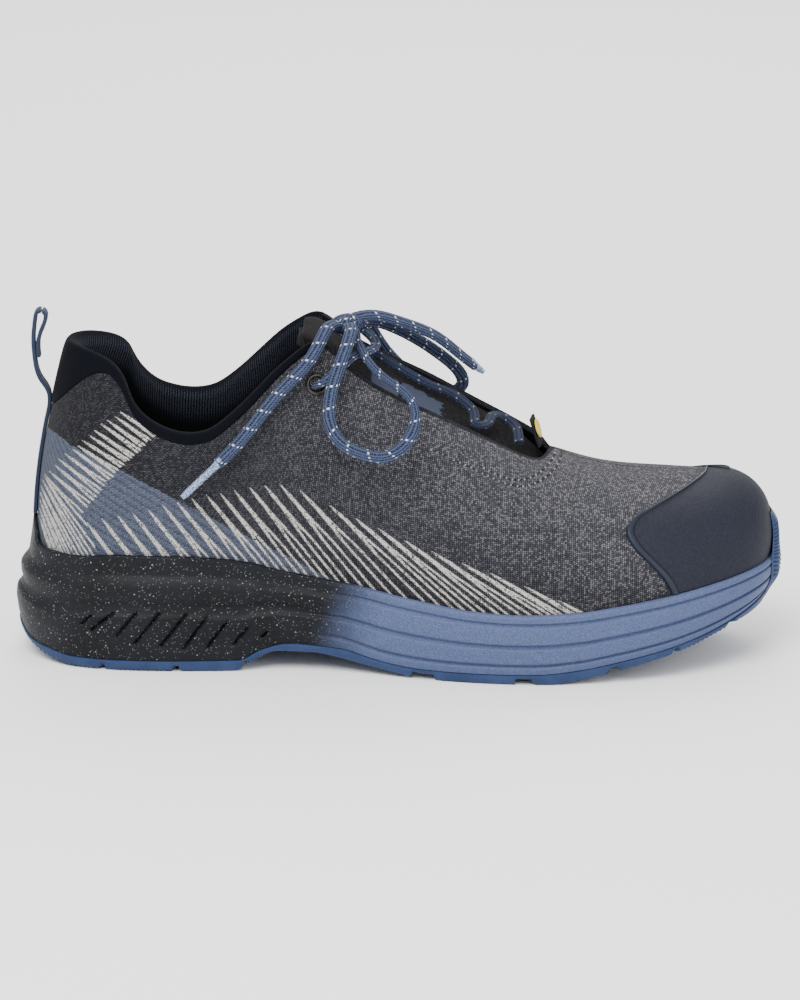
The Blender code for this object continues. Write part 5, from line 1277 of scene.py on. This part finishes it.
def capPaint():
    # thin moulded film: rows of very fine dots inside a smooth rim
    p = Paint("capFilm", rough=0.50, specular=0.20)
    u, v = p.split(p.cloth())[:2]
    inside = p.smooth(p.field("rimWay"), *cap["rimFade"])
    dots = p.times(p.wave(u, 1.15), p.wave(v, 1.15))
    haze = p.noise(p.place(), 0.9, 3, 0.7)
    tone = p.mix(p.smooth(haze, 0.35, 0.7, 0.0, 0.5), cap["colour"], cap["light"])
    tone = p.mix(p.times(p.smooth(dots, 0.0, 0.8), p.times(inside, 0.6)), tone, cap["light"])
    tone = p.mix(p.smooth(inside, 0.0, 1.0, 0.75, 0.0), tone, cap["rimColour"])
    seam = p.times(*[p.smooth(p.field("rimWay"), *ends) for ends in cap["seam"]])
    tone = p.mix(p.times(seam, 0.8), tone, (0.0015, 0.0016, 0.0025))
    p.set(colour=tone, rough=p.smooth(inside, 0.0, 1.0, 0.42, 0.60),
          normal=p.bump(p.times(dots, inside), 0.35, 0.0002))
    return p.material


grid, uv, edge = toeCapPiece()
Heap().add(grid, uv=uv, rimWay=edge).build("toeCapFilm", ["toe_cap"], "toe_cap", capPaint(), angle=70,
                                           flip=False)
print("cap laid")

# black: depths below the crest, in mm, where the painted shade inside the collar starts and is full
pad = {"heather": ((1.5, 5.0), (18.0, 9.0)), "black": (12.0, 21.0), "thick": 5.0,
       "colour": (0.0016, 0.0020, 0.0040), "light": (0.030, 0.034, 0.045)}


def collarPiece():
    # padded lining over the topline: a closed section of eleven keys, splined round, at each station
    s = np.linspace(-facingShare - 0.006, facingShare + 0.006, 560)
    band = bandShare(np.clip(s, -facingShare, facingShare))
    t = fold(s)[1]
    end = 1 - ramp(t, facingShare - 0.07, facingShare - 0.004)
    lift = (0.12 + 0.88 * end)[:, None] * np.array([0, 0, 1.0])
    low = band * 0.54
    inside = shoe["wall"] + shoe["gap"] + 0.1
    deep = pad["thick"] * (0.30 + 0.70 * end)
    one = np.ones(len(s))
    keys = np.array([
        off(s, band, one * -0.5),
        off(s, band + 0.004, one * 0.25),
        off(s, band + (1 - band) * 0.45, one * 0.75),
        off(s, band + (1 - band) * 0.85, one * 0.65),
        off(s, one, one * -0.4) + lift * 0.9,
        off(s, 0.998 * one, -0.45 * (inside + deep)) + lift * 1.5,
        off(s, 0.985 * one, -0.85 * (inside + deep)) + lift * 0.2,
        off(s, 0.955 * one, -(inside + deep)),
        off(s, (low + 0.95) / 2, -(inside + deep)),
        off(s, low + 0.02, -(inside + deep * 0.6)),
        off(s, low, -inside * one),
    ])
    fine = np.linspace(0, 1, 90)
    at = np.cumsum([0, 0.4, 1.2, 1.0, 0.9, 1.0, 1.1, 1.0, 2.2, 2.2, 0.6])
    return splineCurve(at / at[-1], keys, fine)


def liningPaint():
    # brushed lining: navy black, finely ribbed, lighter heather below the crest and painted shade, near black, deep
    # inside
    p = Paint("navyLining", rough=0.92, sheen=0.01, specular=0.06)
    u = p.split(p.cloth())[0]
    rib = p.wave(u, 1.1)
    fine = p.noise(p.cloth(), 2.0, 2, 0.7)
    inside = p.field("crestWay")
    heather = p.smooth(p.plus(p.times(fine, 0.8), p.times(rib, 0.12)), 0.32, 0.60)
    zone = p.times(*[p.smooth(inside, *ends) for ends in pad["heather"]])
    tone = p.mix(p.times(heather, p.plus(p.times(zone, 0.9), 0.06)), pad["colour"], pad["light"])
    # painted shade: near black deep inside the collar, from crestWay 12 to 21 mm
    tone = p.mix(p.smooth(inside, *pad["black"]), tone, (0.0007, 0.0008, 0.0010))
    p.set(colour=tone, normal=p.bump(p.plus(fine, p.times(rib, 0.25)), 0.3, 0.0002))
    return p.material


grid = collarPiece()
way = gridLength(grid, 0)
way = way - np.take_along_axis(way, grid[..., 2].argmax(0)[None], 0)
collar = Heap().add(grid, crestWay=way).build("collarPad", ["collar"], "collar", liningPaint(), angle=80)
print("collar padded")


tongueSizes = {
    "thick": 4.5, "clear": 0.9, "crown": 0.8, "half": 20.0, "side": 0.7, "start": 84.0, "stop": 147.0,
    "foot": (12.0, 0.0, -9.5, 0.55), "colour": (0.0014, 0.0014, 0.0020), "strip": (0.0080, 0.0072, 0.0070),
    "plate": (0.034, 0.042, 0.068), "plateEdge": 3.5, "plateFrom": 96.0, "plateTo": 124.0,
    "plateSplit": 107.5, "bandAt": 80.0,
}
tongueHead = (
    # back, rise, narrow
    (10.5, 5.4, 0.62), (7.4, 4.8, 0.76), (4.0, 3.0, 0.88),
)


def tongueSection(t):
    # wing, edge, crown, edge, wing under both edges of the throat
    clear = shoe["wall"] + shoe["gap"] + tongueSizes["clear"]
    pair = np.stack([t, 2 - t])
    edge = off(pair, np.full(pair.shape, 0.985), -clear)
    wing = off(pair, np.full(pair.shape, 0.93), -clear)
    crown = edge.mean(0) + np.array([0.35, 0.0, 1.0]) * tongueSizes["crown"]
    shoulder = (edge + crown) / 2 + np.array([0, 0, 0.5])
    return np.stack([wing[0], edge[0], shoulder[0], crown, shoulder[1], edge[1], wing[1]])


def tonguePiece():
    # sections under the throat, a head leaning back and a foot, thickened inwards and splined both ways
    t = np.linspace(stationShare(tongueSizes["start"]), stationShare(tongueSizes["stop"]), 16)
    over = tongueSection(t)
    first, last = over[:, :1], over[:, -1:].copy()
    head = []
    for back, rise, narrow in tongueHead:
        moved = first.copy()
        middle = first.mean(0)
        moved[..., 1] = middle[..., 1] + (first[..., 1] - middle[..., 1]) * narrow
        moved[..., 2] = middle[..., 2] + (first[..., 2] - middle[..., 2]) * (0.5 + narrow / 2)
        head.append(moved + np.array([-back, 0.0, rise]))
    foot = tongueSizes["foot"]
    last[..., 1] = last[..., 1].mean() + (last[..., 1] - last[..., 1].mean()) * foot[3]
    over = np.concatenate(head + [over, last + np.array(foot[:3])], axis=1)
    inward = np.array([-0.55, 0.0, -0.83]) * tongueSizes["thick"]
    share = np.array([0.5, 1, 1, 1, 1, 1, 0.5])[:, None, None]
    towards = (over[3:4, :, 1] - over[...,
                                      1]) / tongueSizes["half"] * tongueSizes["thick"] * tongueSizes["side"]
    below = over + inward * share
    below[..., 1] += towards
    keys = np.concatenate([over, below[::-1], over[:1]])
    fine = splineCurve(np.linspace(0, 1, len(keys)), keys, np.linspace(0, 1, 120))
    turned = fine.transpose(1, 0, 2)
    smooth = splineCurve(np.linspace(0, 1, len(turned)), turned, np.linspace(0, 1, 160))
    return smooth.transpose(1, 0, 2)


def tonguePaint():
    # black knit, a brown black band at the head and two smooth slate plates behind the knot
    p = Paint("blackMesh", rough=0.92, sheen=0.02, specular=0.08)
    x, y = p.split(p.place())[:2]
    fine = p.noise(p.cloth(), 1.6, 2, 0.7)
    random, dome = knitCells(p, 1.3, 1.1)[:2]
    pale = p.smooth(p.plus(random, fine), 0.9, 1.5, 0.0, 0.6)
    tone = p.mix(pale, tongueSizes["colour"], (0.010, 0.010, 0.013))
    band = p.mix(p.smooth(fine, 0.3, 0.7), tongueSizes["colour"], tongueSizes["strip"])
    tone = p.mix(p.smooth(x, tongueSizes["bandAt"] + 1.0, tongueSizes["bandAt"] - 1.0), tone, band)
    frayed = p.plus(x, p.around(p.noise(p.place(), 0.5, 3), 8.0))
    first, last = tongueSizes["plateFrom"], tongueSizes["plateTo"]
    plates = p.times(p.smooth(x, first, first + 1.0), p.smooth(frayed, last, last - 1.0))
    fromSplit = p.calc("ABSOLUTE", p.less(x, tongueSizes["plateSplit"]))
    plates = p.times(plates, p.smooth(fromSplit, 0.5, 0.9))
    tear = p.around(p.noise(p.place(), 0.35, 3), 9.0)
    ragged = p.plus(y, tear)
    edge = tongueSizes["plateEdge"]
    plates = p.times(plates, p.smooth(ragged, edge + 0.5, edge - 0.5))
    tone = p.mix(plates, tone, tongueSizes["plate"])
    p.set(colour=tone, normal=p.bump(p.plus(dome, fine), 0.4, 0.0003))
    return p.material


tongue = Heap().add(tonguePiece(), capEnds=True).build("tonguePad", ["tongue"], "tongue", tonguePaint(),
                                                       angle=80)


def footBedPiece():
    # flat bed 4 mm thick: rows between the middle line and the upper's inner edge at the bed's height
    s = np.linspace(0, 2, 400)
    centre = centreLine(s)[1]
    edge = off(s, np.zeros(len(s)), -(shoe["wall"] + 0.5))[:, :2]
    rows = []
    for k, rise in ((0.0, 0.6), (1.0, 0.6), (1.0, 3.2), (0.985, 4.0), (0.95, 4.1), (0.7, 4.1), (0.35, 4.1),
                    (0.0, 4.1)):
        xy = centre * (1 - k) + edge * k
        rows.append(np.column_stack([xy, heightOn(footBed, xy[:, 0]) + rise]))
    return np.array(rows)


bedPaint = Paint("bedCloth", rough=0.95, sheen=0.2)
bedGrain = bedPaint.noise(bedPaint.place(), 1.8, 3, 0.7)
bedPaint.set(colour=bedPaint.mix(bedPaint.smooth(bedGrain, 0.4, 0.65), (0.010, 0.012, 0.020),
                                 (0.040, 0.046, 0.065)),
             normal=bedPaint.bump(bedGrain, 0.4, 0.0003))
Heap().add(footBedPiece()).build("footBed", ["insole"], "insole", bedPaint.material)

ringSizes = {"hole": 5.0, "rim": 8.4, "station": 76.8, "below": 15.6}


def eyeletPaint():
    # dark metal with fine scratches
    p = Paint("gunMetal", rough=0.32, metal=1.0, specular=0.5)
    scratch = p.noise(p.place(), 1.6, 3)
    p.set(colour=p.mix(scratch, (0.030, 0.028, 0.026), (0.085, 0.080, 0.074)),
          rough=p.smooth(scratch, 0.3, 0.7, 0.25, 0.45))
    return p.material


def eyeletPiece(at, w, shift):
    # turned ring: profile (radius, height) revolved about the skin's normal, and a dark disc over the hole as
    # painted shade
    middle, out = off(np.array([at]), np.array([w]), 0.0)[0], skinNormal(np.array([at]), np.array([w]))[0]
    middle = middle + out * shift
    first = np.cross(out, np.array([0, 0, 1.0]))
    first /= np.linalg.norm(first)
    second = np.cross(out, first)
    hole, rim = ringSizes["hole"] / 2, ringSizes["rim"] / 2
    profile = np.array([
        (hole + 0.2, -2.2), (hole + 0.2, 0.4), (hole + 0.4, 0.75), (hole + 0.8, 0.95), (rim - 0.5, 0.9),
        (rim - 0.15, 0.7), (rim, 0.4), (rim, 0.0), (hole + 0.5, -0.1), (hole + 0.5, -2.2),
    ])
    a = np.linspace(0, circle, 49)[None, :, None]
    r, h = profile[:, None, :1], profile[:, None, 1:]
    turned = np.cos(a) * first + np.sin(a) * second
    holeShade = middle + out * -0.4 + np.array([0.05, hole + 0.4])[:, None, None] * turned
    return middle + out * h + r * turned, holeShade


metal = eyeletPaint()
share = stationShare(ringSizes["station"])
tops = topPoint(np.array([share]))[0, 2]
eyeW = float(shareAt(np.array([share]), np.array([tops - ringSizes["below"]]))[0])
eyelets = (("eyeletOuter", share, "eyelet_outer", 0.1), ("eyeletInner", 2 - share, "eyelet_inner", 0.6))
for name, at, node, shift in eyelets:
    ringGrid, holeShade = eyeletPiece(float(at), eyeW, shift)
    Heap().add(ringGrid).build(name, [node], "eyelet", metal, angle=60)
    # painted shade: a near black disc fills the eyelet's hole
    dark = Paint(name + "Shade", rough=0.9)
    dark.set(colour=(0.004, 0.004, 0.005))
    Heap().add(holeShade).build(name + "Hole", [], "eyelet", dark.material)

loop = {"wide": 7.0, "thick": 1.6, "bottom": 54.0, "top": 97.0}
loopFold = (
    (-29.2, 103.0), (-32.2, 108.0), (-34.2, 116.0), (-34.6, 124.0), (-33.9, 131.0), (-32.3, 134.6),
    (-30.3, 134.2),
    (-29.9, 131.0), (-31.4, 127.0), (-32.7, 122.5), (-32.6, 116.5),
)


def loopPiece():
    # webbing: flat section along the back seam, then the folded loop in the middle plane
    start, stop = shareAt(np.zeros(2), np.array([loop["bottom"], loop["top"]]))
    heel = off(np.zeros(9), np.linspace(start, stop, 9), loop["thick"] / 2 + 0.05)
    heel[:, 1] = 0.0
    free = np.array([(x, 0.0, z) for x, z in loopFold])
    line = smoothLine(np.vstack([heel, free]), 180)
    return tube(line, loop["wide"], loop["thick"], 40, facing=(-1.0, 0.0001, 0.2), power=0.35)


def webbingPaint():
    # navy webbing: diagonal twill
    p = Paint("navyWebbing", rough=0.85, sheen=0.05)
    u, v = p.split(p.cloth())[:2]
    twill = p.wave(p.plus(u, v), 0.9)
    tone = p.mix(p.smooth(twill, -0.7, 0.8), (0.007, 0.011, 0.024), (0.034, 0.048, 0.088))
    p.set(colour=tone, normal=p.bump(twill, 0.4, 0.0002))
    return p.material


grid, uv = loopPiece()
Heap().add(grid, uv=uv, capEnds=True).build("pullLoop", ["pull_loop"], "lace", webbingPaint())

tab = {
    "size": (8.6, 11.6, 1.0), "lean": (-0.30, 0.0, 0.954), "fromFront": (-6.0, -0.6, 6.6),
    "turn": (0.16, 0.987, 0.05),
    "disc": 3.8, "discThick": 0.8, "discUp": 0.8, "yellow": (0.62, 0.42, 0.035),
}


def tabPieces():
    # webbing tab that stands at the throat's front, and the plain disc on it
    centre = topPoint(np.array([frontShare]))[0] + np.array(tab["fromFront"])
    along, across = np.array(tab["lean"]), np.array(tab["turn"])
    out = np.cross(across, along)
    wide, tall, thick = tab["size"]
    line = centre + along * np.linspace(-tall / 2, tall / 2, 30)[:, None]
    grid, uv = tube(line, wide, thick, 40, facing=tuple(out + 1e-5), power=0.3)
    a = np.linspace(0, circle, 41)[None, :, None]
    place = centre + along * tab["discUp"] + out * (thick / 2 + shoe["gap"] + tab["discThick"] / 2)
    r = (np.array([0.01, 0.76, 0.95, 1.0, 0.95, 0.01]) * tab["disc"])[:, None, None]
    h = np.array([0.40, 0.38, 0.25, 0.0, -0.3, -0.4])[:, None, None]
    disc = place + out * h + r * (np.cos(a) * across + np.sin(a) * along)
    return grid, uv, disc


grid, uv, disc = tabPieces()
black = Paint("blackWebbing", rough=0.85, specular=0.1)
twill = black.wave(black.split(black.cloth())[0], 0.7)
black.set(colour=black.mix(black.smooth(twill, -0.7, 0.8), (0.004, 0.004, 0.005), (0.022, 0.022, 0.026)),
          normal=black.bump(twill, 0.4, 0.0002))
Heap().add(grid, uv=uv, capEnds=True).build("throatTab", ["throat_tab"], "tab", black.material)
yellow = Paint("yellowDisc", rough=0.5)
yellow.set(colour=yellow.mix(yellow.noise(yellow.place(), 1.2, 3), tab["yellow"], (0.70, 0.52, 0.08)))
Heap().add(disc).build("tabDisc", ["tab_disc"], "tab_disc", yellow.material, angle=40)
print("trim made")

floorPaint = Paint("paleFloor", rough=0.9)
floorPaint.set(colour=light["floor"])
mesh = bpy.data.meshes.new("floor")
mesh.from_pydata([(-6, -6, -0.0004), (6, -6, -0.0004), (6, 6, -0.0004), (-6, 6, -0.0004)], [],
                 [(0, 1, 2, 3)])
mesh.materials.append(floorPaint.material)
ground = bpy.data.objects.new("floor", mesh)
bpy.context.scene.collection.objects.link(ground)
